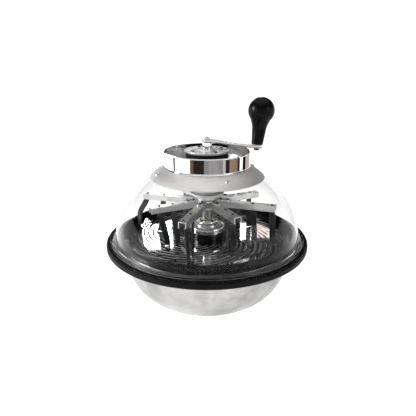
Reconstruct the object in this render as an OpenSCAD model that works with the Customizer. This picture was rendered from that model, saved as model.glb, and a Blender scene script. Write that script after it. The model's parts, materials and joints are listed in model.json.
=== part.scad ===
// Hand-cranked bowl trimmer: a steel bowl, a slotted pan with a gearbox and blades, and a clear
// dome that carries the crank, its bearings and eight sweeping arms.
// Millimetres, +Z up, origin at the middle of the bowl's foot.

/* [Bowl] */
// Outer radius of the bowl at its mouth
bowl_r = 173; // [140:1:215]
// Height of the top of the bowl's flange
rim_z = 131; // [105:1:160]
// Radius of the flat foot
foot_r = 46; // [36:1:60]
// Thickness of the spun wall
bowl_wall = 1.5; // [1:0.1:2.4]
// Height of the straight neck under the flange
neck_h = 8.6; // [6:0.2:14]
// How square the bowl's section is, 2 is an ellipse
bowl_power = 2.475; // [2:0.05:3.2]
// Width of the flat flange around the mouth
flange_w = 32; // [26:1:40]

/* [Rim edging] */
// How far the edging stands out past the flange
edging_out = 5; // [3.5:0.5:8]
// Width of the edging's section
edging_w = 12; // [10:0.5:16]
// Thickness of the edging over the flange
edging_over = 3; // [2:0.5:5]
// How far the edging hangs below the flange
edging_under = 6.9; // [4:0.1:9]

/* [Pan] */
// Thickness of the slotted plate
plate_t = 1.5; // [1:0.1:2.5]
// How far the pan wall stands outside the bowl's mouth
pan_step = 4.6; // [3:0.2:8]
// Height of the pan wall above the plate
pan_wall_h = 20.7; // [14:0.1:30]
// Thickness of the pan wall
pan_wall_t = 1.5; // [1:0.1:2.5]
// Width of the foot ring that joins the wall to the plate
pan_foot_w = 11; // [8:0.5:16]
// Number of spiral rows of slots
slot_rows = 24; // [16:1:30]
// Slots in each row
slots_per_row = 4; // [2:1:6]
// Width of a slot
slot_w = 3.2; // [2:0.2:4]
// Radius where the rows begin
slot_start_r = 50; // [44:1:60]
// How far a row moves outward in one radian
slot_pitch = 40; // [30:1:60]
// Metal left between two slots of a row, along the radius
slot_bridge = 3.6; // [2.5:0.1:6]

/* [Gearbox] */
// Space between the idlers' teeth and the gearbox wall
gear_room = 2.6; // [1:0.1:5]
// Height of the gearbox base above the plate
box_h = 16.9; // [16:0.1:22]
// Wall of the gearbox base
box_wall = 2.5; // [2:0.1:3.5]
// Floor of the gearbox base
box_floor = 3.5; // [3:0.1:5]
// How far the cap overhangs the base
cap_over = 4; // [2:0.5:6]
// Height of the cap's rounded body
cap_h = 13; // [12:0.5:18]
// Height of the collar on the cap
collar_h = 9; // [8:0.5:12]
// Radius of the collar's top
collar_r = 18; // [16.5:0.5:22]
// How far the collar widens towards its foot
collar_flare = 6; // [2:0.5:8]
// Gear module
gear_module = 0.7; // [0.6:0.01:0.9]
// Teeth of the input gear, an even number
input_teeth = 36; // [34:2:40]
// Teeth of each idler's small pinion, an even number
idler_small_teeth = 12; // [12:2:14]
// Teeth of each idler's large wheel, an even number
idler_large_teeth = 30; // [28:2:32]
// Width of the gear faces
gear_w = 6; // [5:0.5:6]
// Tooth thinning for backlash
backlash = 0.12; // [0.08:0.01:0.16]
// Radius of the idler pins
idler_pin_r = 2; // [1.6:0.1:2.2]
// Radius of the output shaft
output_r = 5; // [4.4:0.1:5.2]
// Distance across the flats of the drive hexagon
hex_flats = 11.8; // [10:0.2:12.6]
// Radius of the input gear's hub
input_hub_r = 9; // [8.4:0.1:10]

/* [Blades] */
// Distance from a blade's tip to the bowl's wall
blade_gap = 14; // [6:1:24]
// Width of a blade at its root
blade_root_w = 24; // [18:1:30]
// Width of a blade at its tip
blade_tip_w = 15; // [10:1:20]
// Thickness of a blade
blade_t = 1.5; // [1:0.1:2.5]
// Space between the plate and the upper blade
blade_drop = 3.5; // [3.2:0.1:6]

/* [Dome] */
// Height of the dome's ellipse above its springing
dome_h = 162.8; // [132:0.1:198]
// Wall of the clear dome
dome_wall = 3; // [2:0.1:4]
// Distance from the edging's outside to the dome's outside
dome_inset = 18.6; // [16:0.1:22]
// How far the lip stays inside the edging's outside
lip_inset = 2; // [1:0.5:4]
// Height of each step of the dome's flange
step_h = 3.2; // [2.4:0.1:4.4]
// Radius of the flat ledge on top of the dome
ledge_r = 92.8; // [86:0.2:98]
// Radius of the hole in the ledge
ledge_hole_r = 48; // [45.5:0.5:50]

/* [Skirt and ring] */
// Radius of the skirt's lower edge
skirt_r = 116.5; // [110:0.5:122]
// Thickness of the skirt
skirt_wall = 1.5; // [1:0.1:2]
// Height of the skirt's edge above the dome
skirt_gap = 3.1; // [2.5:0.1:5]
// Outer radius of the ring
ring_r = 85.8; // [82:0.2:88]
// Height of the ring
ring_h = 31.6; // [26:0.2:38]
// Thickness of the ring
ring_wall = 1.5; // [1:0.1:2.5]

/* [Bearing housing] */
// Outer radius of the housing's barrel
barrel_r = 43; // [41:0.5:45]
// Height of the barrel above the skirt's floor
barrel_h = 29.1; // [27:0.1:36]
// Thickness of the housing cover
cover_t = 4; // [3:0.5:6]
// How far the cover stands out over the barrel
cover_over = 1.4; // [0.5:0.1:3]
// Height of the pedestal between the dome and the skirt
pedestal_h = 9.2; // [7:0.1:14]
// Radius of the pedestal and the clamp flange
clamp_r = 62; // [59:0.5:70]
// Thickness of the clamp flange
clamp_t = 5; // [4:0.5:8]
// Length of the bearing tube under the clamp flange
tube_len = 40.6; // [34:0.1:50]
// Wall of the bearing tube around the bearing
tube_wall = 4.5; // [3:0.1:6]
// Width of the flange at the tube's lower end
tube_flange_w = 9; // [5:0.5:14]

/* [Bearings and shaft] */
// Radius of the main shaft
shaft_r = 8; // [7:0.1:9.8]
// Radial thickness of an inner or outer race
race_t = 3; // [2.4:0.1:3.6]
// Radius of a bearing ball
ball_r = 3; // [2.5:0.1:3.6]
// Balls in each bearing
ball_count = 9; // [7:1:10]
// Width of a bearing
bearing_w = 12; // [10:0.5:14]

/* [Hub and arms] */
// Height of an arm's channel
arm_h = 12; // [10:0.5:15]
// Width of an arm's channel
arm_w = 15; // [12:0.5:18]
// Wall of the channel
arm_wall = 1.5; // [1:0.1:2]
// Length of the lips that turn in along the channel's open side
arm_lip = 2.2; // [1.6:0.1:3]
// Distance from the pan wall to the long arms' tips
long_arm_gap = 33; // [26:1:40]
// Distance from the pan wall to the short arms' tips
short_arm_gap = 52; // [46:1:60]
// Space between neighbouring arms at their roots
arm_root_gap = 1.4; // [0.6:0.1:3]
// Turn of the long arms about the shaft
arm_turn = 72; // [0:1:89]
// How far the hub's plates reach past the arms' roots
hub_land = 7; // [5:0.5:10]
// Thickness of the hub's lower plate
hub_plate_t = 4; // [3:0.5:6]
// Thickness of the hub's cap plate
hub_cap_t = 3; // [2:0.5:4]
// How far the cap plate's fingers reach along the arms
finger_reach = 24; // [18:1:28]
// Radius of the neck on the cap plate
neck_r = 22; // [18:0.5:24]
// Height of the neck
neck_top_h = 6; // [6:0.5:9]
// Wall of the sleeve that hangs from the hub
sleeve_wall = 2.5; // [2:0.1:4]

/* [Flaps] */
// Width of a flap, along the arm
flap_w = 12; // [8:0.5:14]
// Thickness of a flap
flap_t = 2.2; // [1.5:0.1:3]
// Distance from a long arm's tip to its outer flap
long_flap_back = 8; // [7:0.5:14]
// Distance from a short arm's tip to its outer flap
short_flap_back = 18.6; // [8:0.2:22]
// Distance between the two flaps of a long arm
long_flap_step = 38; // [30:1:44]
// Distance between the two flaps of a short arm
short_flap_step = 29; // [24:1:34]
// Space between a flap's end and the plate
flap_clear = 1.2; // [0.6:0.1:3]

/* [Crank] */
// Thickness of the crank arm
crank_t = 5; // [4:0.5:6]
// Width of the crank arm
crank_w = 20; // [16:1:24]
// Distance from the shaft to the knob
crank_len = 102; // [96:1:120]
// Space between the crank arm and the ring's top
crank_clear = 4.4; // [2:0.1:10]
// How far the crank arm drops between its hub and its bend
crank_drop = 10.4; // [4:0.1:12]
// Angle of the crank arm about the shaft
crank_angle = 8; // [-30:1:60]
// Lean of the knob away from the shaft
knob_lean = 5.25; // [0:0.25:8]
// Radius of the knob's ball
knob_r = 26.1; // [22:0.1:30]
// Height of the knob
knob_h = 92.8; // [84:0.2:104]
// Radius of the knob's stem at its foot
knob_foot_r = 11.6; // [10:0.2:13]
// Radius of the knob's spindle
spindle_r = 4; // [3.4:0.1:4.6]

/* [Hidden] */
$fn = 96;
fit = 0.05;              // radial clearance of a running fit
slip = 0.1;              // clearance of parts that slide together by hand
eps = 0.01;              // overlap of a cut with what it cuts

// Bowl and edging
flange_r = bowl_r + flange_w;
bowl_in_r = bowl_r - bowl_wall;
edging_r = flange_r + edging_out;
edging_top = rim_z + edging_over;
edging_low = rim_z - bowl_wall - edging_under;

// Pan
pan_r = bowl_r + pan_step;
pan_in_r = pan_r - pan_wall_t;
plate_top = rim_z + plate_t;
slot_end_r = pan_r - pan_foot_w - 4;
slot_reach = (slot_end_r - slot_start_r) / slots_per_row - slot_bridge;

// Gearbox, heights from the plate up
box_top = plate_top + box_h;
output_teeth = input_teeth + idler_small_teeth - idler_large_teeth;
centre_gap = gear_module * (input_teeth + idler_small_teeth) / 2;
tip_share = 0.85;
box_in_r = centre_gap + gear_module * (idler_large_teeth / 2 + tip_share) + gear_room;
box_r = box_in_r + box_wall;
cap_r = box_r + cap_over;
cap_top = box_top + cap_h;
collar_top = cap_top + collar_h;
cap_wall = 3;
low_gear_z = plate_top + box_floor + 2.5;
high_gear_z = low_gear_z + gear_w + 1;
input_gear_top = high_gear_z + gear_w + 0.5;
idler_top = high_gear_z + gear_w;
idler_bore_r = idler_pin_r + fit;
input_bush_r = input_hub_r + 3;
input_hub_top = collar_top + 0.6;
socket_flats = hex_flats + 2 * slip;
output_bush_r = output_r + 3;
box_screw_ring = 24;
box_screw_r = 2;
box_head_r = 3.6;
box_head_h = 2;
collar_screw_ring = (input_bush_r + collar_r) / 2 + 0.4;
collar_screw_r = 0.9;

// Blades, heights from the plate down
blade_top = rim_z - blade_drop;
blade_r = bowl_in_r - blade_gap;
blade_hub_r = 14;
blade_hub_gap = 0.6;
blade_low = blade_top - 2 * blade_t;
blade_washer_t = 1.5;
blade_nut_h = 5;
output_low = blade_low - blade_washer_t - blade_nut_h - 2;

// Dome
dome_r = edging_r - dome_inset;
dome_z = edging_top - 0.4;
lip_r = edging_r - lip_inset;
lip_t = 3;
dome_in_r = dome_r - dome_wall;
dome_in_h = dome_h - dome_wall;
function dome_height(r) = dome_z + dome_h * sqrt(1 - pow(r / dome_r, 2));
ledge_z = dome_height(ledge_r);
ledge_low = ledge_z - dome_wall;

// Skirt, ring and housing
floor_low = ledge_z + pedestal_h;
floor_z = floor_low + skirt_wall;
skirt_low = dome_height(skirt_r) + skirt_gap;
ring_top = floor_z + ring_h;
ring_lip_r = ring_r + 2.2;
barrel_top = floor_z + barrel_h;
barrel_bore_r = 14;
cover_top = barrel_top + cover_t;
cover_r = barrel_r + cover_over;
cover_boss_r = 16;
cover_boss_h = 2;
cover_screw_ring = 33;
clamp_low = ledge_low - clamp_t;
tube_low = clamp_low - tube_len;
tube_flange_t = 5;
clamp_ring = (clamp_r + ledge_hole_r) / 2;
clamp_screw_r = 2.5;
clamp_screws_n = 6;

// Bearings: a race on the shaft, balls, and a race in the housing
race_in_r = shaft_r + race_t;
ball_ring = race_in_r + fit + ball_r;
race_out_r = ball_ring + ball_r + fit;
bearing_r = race_out_r + race_t;
tube_r = bearing_r + tube_wall;
tube_flange_r = tube_r + tube_flange_w;
upper_bearing_z = barrel_top - bearing_w;
lower_bearing_z = tube_low;

// Skirt bolts stand square on the middle of the skirt's slope
skirt_top_r = ring_lip_r + 0.5;
skirt_curve = [[skirt_r, skirt_low + skirt_wall], [skirt_r - 12.5, floor_z - 7.2], [skirt_top_r, floor_z]];
bolt_spot = (skirt_curve[0] + 2 * skirt_curve[1] + skirt_curve[2]) / 4;
bolt_tilt = atan2(skirt_curve[2][1] - skirt_curve[0][1], skirt_curve[0][0] - skirt_curve[2][0]);
bolt_turn = -68;
bolt_r = 2.5;
bolt_head_r = 5.2;
bolt_hole_r = bolt_r + slip;
bolt_outer_hit = bolt_hit(dome_r, dome_h);
bolt_inner_hit = bolt_hit(dome_in_r, dome_in_h);
bolt_play = 0.8;
bolt_end = bolt_inner_hit + bolt_play + 5;
spacer_r = 5;
// Distance down a skirt bolt's axis to an ellipse with half axes a and h about the dome's centre
function bolt_hit(a, h) =
    let (r = bolt_spot[0], z = bolt_spot[1] - dome_z, u = sin(bolt_tilt), v = cos(bolt_tilt),
         q2 = pow(u / a, 2) + pow(v / h, 2),
         q1 = r * u / (a * a) + z * v / (h * h),
         q0 = pow(r / a, 2) + pow(z / h, 2) - 1)
    (q1 - sqrt(q1 * q1 - q2 * q0)) / q2;

// Hub and arms, heights from the lower bearing down
hub_gap = 2;
neck_top = tube_low - hub_gap;
cap_plate_top = neck_top - neck_top_h;
arm_top = cap_plate_top - hub_cap_t;
arm_low = arm_top - arm_h;
hub_low = arm_low - hub_plate_t;
sleeve_low = input_hub_top + 1.4;
sleeve_r = shaft_r + sleeve_wall;
arm_root_r = (arm_w + arm_root_gap) / 2 / tan(22.5);
hub_core_r = arm_root_r - 6;
hub_r = arm_root_r + hub_land;
long_tip_r = pan_in_r - long_arm_gap;
short_tip_r = pan_in_r - short_arm_gap;
hub_screw_r = 1.5;
hub_screw_head_r = 3;
hub_screw_head_h = 1.8;
hub_screw_spots = [hub_r + 4, hub_r + finger_reach - 7];
flap_spots_long = [long_tip_r - long_flap_back, long_tip_r - long_flap_back - long_flap_step];
flap_spots_short = [short_tip_r - short_flap_back, short_tip_r - short_flap_back - short_flap_step];
flap_side = arm_w / 2 - arm_lip - slip;
flap_nut_flats = 2 * (flap_side - flap_t - slip) * cos(30);
flap_top = arm_top - arm_wall;
flap_low = plate_top + flap_clear;
// Outward drift of each flap's lower end, arm by arm, as the rubber has set
lean_long_outer = [3, 17, -6, 5];
lean_long_inner = [0, 5, -3, 4];
lean_short_outer = [4, 7, 2, -4];
lean_short_inner = [2, 12, 1, 3];

// Crank: the arm is drawn in the plane of the shaft and the knob
collar_top_r = shaft_r + 1.5;
crank_flat = collar_top_r + 1;
bend_r = 66;
bend_z = ring_top + crank_clear + crank_t + (ring_r - bend_r) * tan(knob_lean);
crank_bend = [bend_r, bend_z];
crank_top = bend_z + crank_drop;
crank_low = crank_top - crank_t;
knob_drop = (crank_len - crank_bend[0]) * tan(knob_lean);
knob_foot = [crank_len, crank_bend[1] - knob_drop];
crank_tip = crank_w * 0.6;
spigot_flats = 9;
hex_top = input_hub_top + 1;
hex_low = input_gear_top + 4;
bolt_m = 3;
spindle_len = 56;
spindle_head_r = spindle_r + 1.2;
spindle_head_h = 4;
spindle_flange_r = 7.5;
spindle_flange_t = 1.4;
spindle_thread_r = 3;
spindle_nut_h = 5;
knob_gap = 0.3;

steel = "silver";
clear_plastic = [0.9, 0.95, 1, 0.3];
black = "#181818";

long_names = ["arm_long_1", "arm_long_2", "arm_long_3", "arm_long_4"];
short_names = ["arm_short_1", "arm_short_2", "arm_short_3", "arm_short_4"];

// ---- helpers ----

// Points along an arc of an ellipse; the angle is the ellipse's own parameter
function arc(c, rx, rz, a0, a1, n) =
    [for (i = [0 : n]) let (a = a0 + (a1 - a0) * i / n) [c[0] + rx * cos(a), c[1] + rz * sin(a)]];

// Points along a quadratic curve with one control point
function curve(p, n) =
    [for (i = [0 : n]) let (t = i / n)
        (1 - t) * (1 - t) * p[0] + 2 * t * (1 - t) * p[1] + t * t * p[2]];

function reversed(list) = [for (i = [len(list) - 1 : -1 : 0]) list[i]];

// Corner radius of a hexagon with the given distance across flats
function hex_corner(flats) = flats / sqrt(3);

module turned(points) {
    rotate_extrude() polygon(points);
}

module tube(r_out, r_in, z0, z1) {
    translate([0, 0, z0]) difference() {
        cylinder(r = r_out, h = z1 - z0);
        translate([0, 0, -eps]) cylinder(r = r_in, h = z1 - z0 + 2 * eps);
    }
}

module rod(r, z0, z1) {
    translate([0, 0, z0]) cylinder(r = r, h = z1 - z0);
}

module hexagon(flats, z0, z1) {
    translate([0, 0, z0]) cylinder(r = hex_corner(flats), h = z1 - z0, $fn = 6);
}

module around(n, ring_r, turn = 0) {
    for (i = [0 : n - 1]) rotate(turn + 360 * i / n) translate([ring_r, 0, 0]) children();
}

// A round-headed screw with a hexagonal recess: its head's seat is at z = 0, its shank points down
module button_screw(r, head_r, head_h, len) {
    difference() {
        turned(concat([[0, 0], [head_r, 0]], arc([0, 0], head_r, head_h, 12, 90, 6)));
        translate([0, 0, head_h * 0.45]) cylinder(r = head_r * 0.42, h = head_h, $fn = 6);
    }
    rod(r, -len, 0);
}

module hex_nut(flats, r, z0, z1) {
    difference() {
        hexagon(flats, z0, z1);
        rod(r, z0 - eps, z1 + eps);
    }
}

// ---- bowl ----

// Section of the bowl's curved wall, from the foot out to the neck
function bowl_curve(r, z_low, n) =
    [for (i = [0 : n]) let (t = 90 - 90 * i / n)
        [foot_r + (r - foot_r) * pow(cos(t), 2 / bowl_power),
         rim_z - neck_h - (rim_z - neck_h - z_low) * pow(sin(t), 2 / bowl_power)]];

module bowl() {
    color(steel) turned(concat(
        [[0, 0]], bowl_curve(bowl_r, 0, 18),
        [[bowl_r, rim_z - bowl_wall], [flange_r, rim_z - bowl_wall], [flange_r, rim_z],
         [bowl_in_r, rim_z]],
        reversed(bowl_curve(bowl_in_r, bowl_wall, 18)), [[0, bowl_wall]]));
}

module rim_edging() {
    inner = edging_r - edging_w;
    round_r = 3.2;
    top_r = 1.2;
    color(black) turned(concat(
        [[inner, edging_low + 1]],
        [[inner + 1, edging_low]],
        arc([edging_r - round_r, edging_low + round_r], round_r, round_r, -90, 0, 5),
        arc([edging_r - top_r, edging_top - top_r], top_r, top_r, 0, 90, 4),
        [[inner, edging_top], [inner, rim_z], [flange_r, rim_z], [flange_r, rim_z - bowl_wall],
         [inner, rim_z - bowl_wall]]));
}

// ---- pan ----

// A point of a slot row's middle line at radius r, and the direction of the row there
function row_angle(r) = -(r - slot_start_r) / slot_pitch * 180 / PI;
function row_point(r) = r * [cos(row_angle(r)), sin(row_angle(r))];
function row_side(r) =
    let (a = row_angle(r) + atan2(-r, slot_pitch) + 90) [cos(a), sin(a)];

module slot(r0, r1) {
    steps = 6;
    radii = [for (i = [0 : steps]) r0 + (r1 - r0) * i / steps];
    polygon(concat(
        [for (r = radii) row_point(r) + row_side(r) * slot_w / 2],
        [for (r = reversed(radii)) row_point(r) - row_side(r) * slot_w / 2]));
}

module slotted_plate() {
    color(steel) translate([0, 0, rim_z]) linear_extrude(plate_t) difference() {
        circle(r = pan_r);
        circle(r = output_bush_r);
        around(4, box_screw_ring, 45) circle(r = box_screw_r);
        for (row = [0 : slot_rows - 1]) rotate(360 * row / slot_rows)
            for (i = [0 : slots_per_row - 1])
                slot(slot_start_r + i * (slot_reach + slot_bridge),
                     slot_start_r + i * (slot_reach + slot_bridge) + slot_reach);
    }
}

module pan_wall() {
    top = plate_top + pan_wall_h;
    bead_r = 1.4;
    color(steel) turned(concat(
        [[pan_r - pan_foot_w, plate_top], [pan_r, plate_top], [pan_r, top - 2 * bead_r]],
        arc([pan_r, top - bead_r], bead_r, bead_r, -90, 90, 8),
        [[pan_in_r, top], [pan_in_r, plate_top + 4.5]],
        arc([pan_in_r - 3, plate_top + 4.5], 3, 3, 0, -90, 4),
        [[pan_r - pan_foot_w, plate_top + 1.5]]));
}

module gearbox_base() {
    color(black) difference() {
        turned([[output_bush_r, plate_top], [box_r, plate_top], [box_r, box_top],
                [box_in_r, box_top], [box_in_r, plate_top + box_floor],
                [output_bush_r, plate_top + box_floor]]);
        around(4, box_screw_ring, 45) rod(box_screw_r, plate_top - eps, plate_top + box_floor + eps);
        around(2, centre_gap) rod(idler_pin_r, plate_top - eps, plate_top + box_floor + eps);
    }
}

module gearbox_cap() {
    shoulder_r = 6;
    in_r = cap_r - cap_wall;
    seat_r = input_bush_r;
    color(steel) difference() {
        turned(concat(
            [[box_r - 1, box_top], [cap_r, box_top]],
            arc([cap_r - shoulder_r, cap_top - shoulder_r], shoulder_r, shoulder_r, 0, 90, 6),
            [[seat_r, cap_top], [seat_r, cap_top - cap_wall]],
            [[in_r - shoulder_r, cap_top - cap_wall], [box_r - 1, cap_top - shoulder_r]]));
        around(4, collar_screw_ring, 45)
            rod(collar_screw_r, cap_top - cap_wall - eps, cap_top + eps);
    }
}

module gearbox_collar() {
    foot = collar_r + collar_flare;
    color(steel) difference() {
        turned(concat(
            [[input_bush_r, cap_top], [foot, cap_top], [foot, cap_top + 2]],
            curve([[foot - 0.4, cap_top + 2.4], [collar_r, cap_top + 3.5], [collar_r, collar_top - 1]], 5),
            [[collar_r - 1, collar_top], [input_bush_r, collar_top]]));
        around(4, collar_screw_ring, 45) rod(collar_screw_r, cap_top - eps, collar_top + eps);
    }
}

module collar_screws() {
    color(steel) around(4, collar_screw_ring, 45) translate([0, 0, collar_top])
        button_screw(collar_screw_r, 2, 1.4, collar_h + cap_wall);
}

// Screws that come up through the plate into the gearbox floor, heads under the plate
module base_screws() {
    color(steel) around(4, box_screw_ring, 45) translate([0, 0, rim_z]) mirror([0, 0, 1])
        button_screw(box_screw_r, box_head_r, box_head_h, plate_t + box_floor);
}

module input_bush() {
    color("goldenrod") tube(input_bush_r, input_hub_r + fit, cap_top - cap_wall, collar_top);
}

module output_bush() {
    color("goldenrod") tube(output_bush_r, output_r + fit, rim_z, plate_top + box_floor + 1.2);
}

module idler_pins() {
    color(steel) around(2, centre_gap) rod(idler_pin_r, plate_top, idler_top + 2.5);
}

// ---- gears ----

// Rolling angle of an involute at pressure angle a
function inv(a) = tan(a) * 180 / PI - a;

// Half of a tooth's angle at radius r
function tooth_half(teeth, r) =
    let (pitch_r = gear_module * teeth / 2,
         base_r = pitch_r * cos(20),
         thin = backlash / 2 / pitch_r * 180 / PI)
    90 / teeth - thin + inv(20) - inv(acos(min(1, base_r / max(r, base_r))));

function gear_points(teeth) =
    let (pitch_r = gear_module * teeth / 2,
         root_r = pitch_r - 1.2 * gear_module,
         tip_r = pitch_r + tip_share * gear_module,
         radii = [for (i = [0 : 4]) root_r + (tip_r - root_r) * i / 4],
         flank = [for (r = radii) [r, -tooth_half(teeth, r)]],
         tooth = concat(flank, [for (f = reversed(flank)) [f[0], -f[1]]]))
    [for (k = [0 : teeth - 1]) for (p = tooth)
        p[0] * [cos(p[1] + 360 * k / teeth), sin(p[1] + 360 * k / teeth)]];

module gear(teeth, z0, h, turn = 0) {
    translate([0, 0, z0]) rotate(turn) linear_extrude(h) polygon(gear_points(teeth));
}

module input_gear() {
    color("goldenrod") difference() {
        union() {
            gear(input_teeth, high_gear_z + 0.5, gear_w);
            rod(input_hub_r, input_gear_top, input_hub_top);
        }
        hexagon(socket_flats, hex_low - 1, input_hub_top + eps);
    }
}

// The small pinion's gap and the large wheel's gap both face the shaft at rest
module idler_gear(side) {
    color("goldenrod") translate([side * centre_gap, 0, 0]) difference() {
        union() {
            gear(idler_large_teeth, low_gear_z, gear_w, 180 / idler_large_teeth);
            rod(idler_bore_r + 1.1, low_gear_z + gear_w, high_gear_z);
            gear(idler_small_teeth, high_gear_z, gear_w, 180 / idler_small_teeth);
        }
        rod(idler_bore_r, low_gear_z - eps, idler_top + eps);
    }
}

module output_shaft() {
    color(steel) {
        gear(output_teeth, low_gear_z, gear_w);
        rod(output_r, output_low, low_gear_z);
    }
}

// ---- blades ----

module blade_hub() {
    color(steel) tube(blade_hub_r, output_r, blade_top, rim_z - blade_hub_gap);
}

module blade(z0, turn) {
    root = blade_root_w / 2;
    tip = blade_tip_w / 2;
    color(steel) rotate(turn) translate([0, 0, z0]) linear_extrude(blade_t) difference() {
        for (side = [0, 180]) rotate(side)
            polygon([[0, -root], [blade_hub_r + 6, -root], [blade_r - 10, -tip], [blade_r, -tip + 7],
                     [blade_r, tip - 2], [blade_r - 3, tip], [blade_hub_r + 6, root], [0, root]]);
        circle(r = output_r);
    }
}

module blade_washer() {
    color(steel) tube(12, output_r, blade_low - blade_washer_t, blade_low);
}

module blade_nut() {
    color(steel) hex_nut(16, output_r, blade_low - blade_washer_t - blade_nut_h, blade_low - blade_washer_t);
}

// ---- dome, skirt and ring ----

module dome() {
    step_w = 5.6;
    top_step_z = edging_top + lip_t + 2 * step_h;
    start_z = top_step_z + 2.6;
    start = asin((start_z - dome_z) / dome_h);
    finish = asin((ledge_z - dome_z) / dome_h);
    in_start = asin((start_z - 1 - dome_z) / dome_in_h);
    in_finish = asin((ledge_low - dome_z) / dome_in_h);
    first_r = lip_r - 6.5;
    second_r = first_r - step_w;
    color(clear_plastic) difference() {
        turned(concat(
            [[first_r - dome_wall, edging_top], [lip_r, edging_top], [lip_r, edging_top + lip_t],
             [first_r, edging_top + lip_t], [first_r - 0.6, edging_top + lip_t + step_h],
             [second_r, edging_top + lip_t + step_h], [second_r - 0.6, top_step_z]],
            arc([0, dome_z], dome_r, dome_h, start, finish, 20),
            [[ledge_hole_r, ledge_z], [ledge_hole_r, ledge_low]],
            arc([0, dome_z], dome_in_r, dome_in_h, in_finish, in_start, 20),
            [[second_r - dome_wall, top_step_z - 2], [second_r - dome_wall, edging_top + step_h],
             [first_r - dome_wall, edging_top + step_h]]));
        around(clamp_screws_n, clamp_ring) rod(clamp_screw_r, ledge_low - eps, ledge_z + eps);
        skirt_bolt_spots() rod(bolt_hole_r, -bolt_end, 0);
    }
}

// Puts its children at each bolt, with z = 0 on the skirt's outside
module skirt_bolt_spots() {
    for (i = [0 : 3]) rotate(bolt_turn + 90 * i)
        translate([bolt_spot[0], 0, bolt_spot[1]]) rotate([0, bolt_tilt, 0]) children();
}

module skirt() {
    outer = curve(skirt_curve, 10);
    inner = curve([for (p = skirt_curve) p - skirt_wall * [sin(bolt_tilt), cos(bolt_tilt)]], 10);
    lip = 3;
    color(steel) difference() {
        turned(concat(
            [[skirt_r - lip, skirt_low], [skirt_r, skirt_low]], outer,
            [[barrel_r, floor_z], [barrel_r, floor_low]],
            reversed([for (p = inner) if (p[1] > skirt_low + skirt_wall * 0.6) [p[0], min(p[1], floor_low)]]),
            [[skirt_r - lip, skirt_low + 0.9]]));
        around(clamp_screws_n, clamp_ring) rod(clamp_screw_r, floor_low - eps, floor_z + eps);
        skirt_bolt_spots() rod(bolt_hole_r, -skirt_wall * 3, skirt_wall);
    }
}

module ring() {
    in_r = ring_r - ring_wall;
    bead = 1.1;
    color(steel) turned(concat(
        [[in_r, floor_z], [ring_lip_r, floor_z], [ring_lip_r, floor_z + 1.2],
         [ring_r, floor_z + 3]],
        [[ring_r, ring_top - bead * 2]],
        arc([ring_r - 0.2, ring_top - bead], bead, bead, -60, 90, 6),
        [[in_r, ring_top]]));
}

module bearing_housing() {
    pocket_in_r = bearing_r + 6.5;
    pocket_out_r = barrel_r - 5;
    pocket_top = barrel_top - 7;
    color(steel) difference() {
        turned([[barrel_bore_r, ledge_z], [pocket_in_r, ledge_z], [pocket_in_r, pocket_top],
                [pocket_out_r, pocket_top], [pocket_out_r, ledge_z], [clamp_r, ledge_z],
                [clamp_r, floor_low], [barrel_r, floor_low], [barrel_r, barrel_top],
                [bearing_r, barrel_top], [bearing_r, upper_bearing_z],
                [barrel_bore_r, upper_bearing_z]]);
        around(clamp_screws_n, clamp_ring) rod(clamp_screw_r, ledge_z - eps, floor_low + eps);
        around(4, cover_screw_ring, 30) rod(2, pocket_top - eps, barrel_top + eps);
    }
}

module housing_cover() {
    hole_r = collar_top_r + 0.5;
    color(steel) difference() {
        turned([[hole_r, barrel_top], [cover_r, barrel_top], [cover_r, cover_top - 1],
                [cover_r - 1, cover_top], [cover_boss_r + 1, cover_top],
                [cover_boss_r, cover_top + cover_boss_h], [hole_r, cover_top + cover_boss_h]]);
        around(4, cover_screw_ring, 30) rod(2, barrel_top - eps, cover_top + eps);
    }
}

module cover_screws() {
    color(steel) around(4, cover_screw_ring, 30) translate([0, 0, cover_top])
        button_screw(2, 3.8, 2.2, cover_t + 7);
}

module clamp_flange() {
    color(steel) difference() {
        turned([[barrel_bore_r, ledge_low], [clamp_r, ledge_low], [clamp_r, clamp_low],
                [tube_r, clamp_low], [tube_r, tube_low + tube_flange_t],
                [tube_flange_r, tube_low + tube_flange_t], [tube_flange_r, tube_low],
                [bearing_r, tube_low], [bearing_r, tube_low + bearing_w],
                [barrel_bore_r, tube_low + bearing_w]]);
        around(clamp_screws_n, clamp_ring) rod(clamp_screw_r, clamp_low - eps, ledge_low + eps);
    }
}

module clamp_screws() {
    color(steel) around(clamp_screws_n, clamp_ring) translate([0, 0, floor_z])
        button_screw(clamp_screw_r, 4.6, 2.8, floor_z - clamp_low + 6);
}

module clamp_nuts() {
    color(steel) around(clamp_screws_n, clamp_ring) hex_nut(8, clamp_screw_r, clamp_low - 4, clamp_low);
}

module skirt_bolts() {
    color(steel) skirt_bolt_spots() button_screw(bolt_r, bolt_head_r, 3.4, bolt_end + 1);
}

module skirt_spacers() {
    color(black) skirt_bolt_spots()
        tube(spacer_r, bolt_hole_r, bolt_play - bolt_outer_hit, -skirt_wall - bolt_play / 2);
}

module skirt_nuts() {
    top = -bolt_inner_hit - bolt_play;
    color(steel) skirt_bolt_spots() hex_nut(8, bolt_r, top - 4, top);
}

// ---- bearings ----

module outer_race(z0) {
    color(steel) tube(bearing_r, race_out_r, z0, z0 + bearing_w);
}

module inner_race(z0) {
    color(steel) tube(race_in_r, shaft_r, z0, z0 + bearing_w);
}

module bearing_balls() {
    color(steel) for (z = [upper_bearing_z, lower_bearing_z])
        around(ball_count, ball_ring) translate([0, 0, z + bearing_w / 2]) sphere(r = ball_r);
}

// ---- rotor ----

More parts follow.
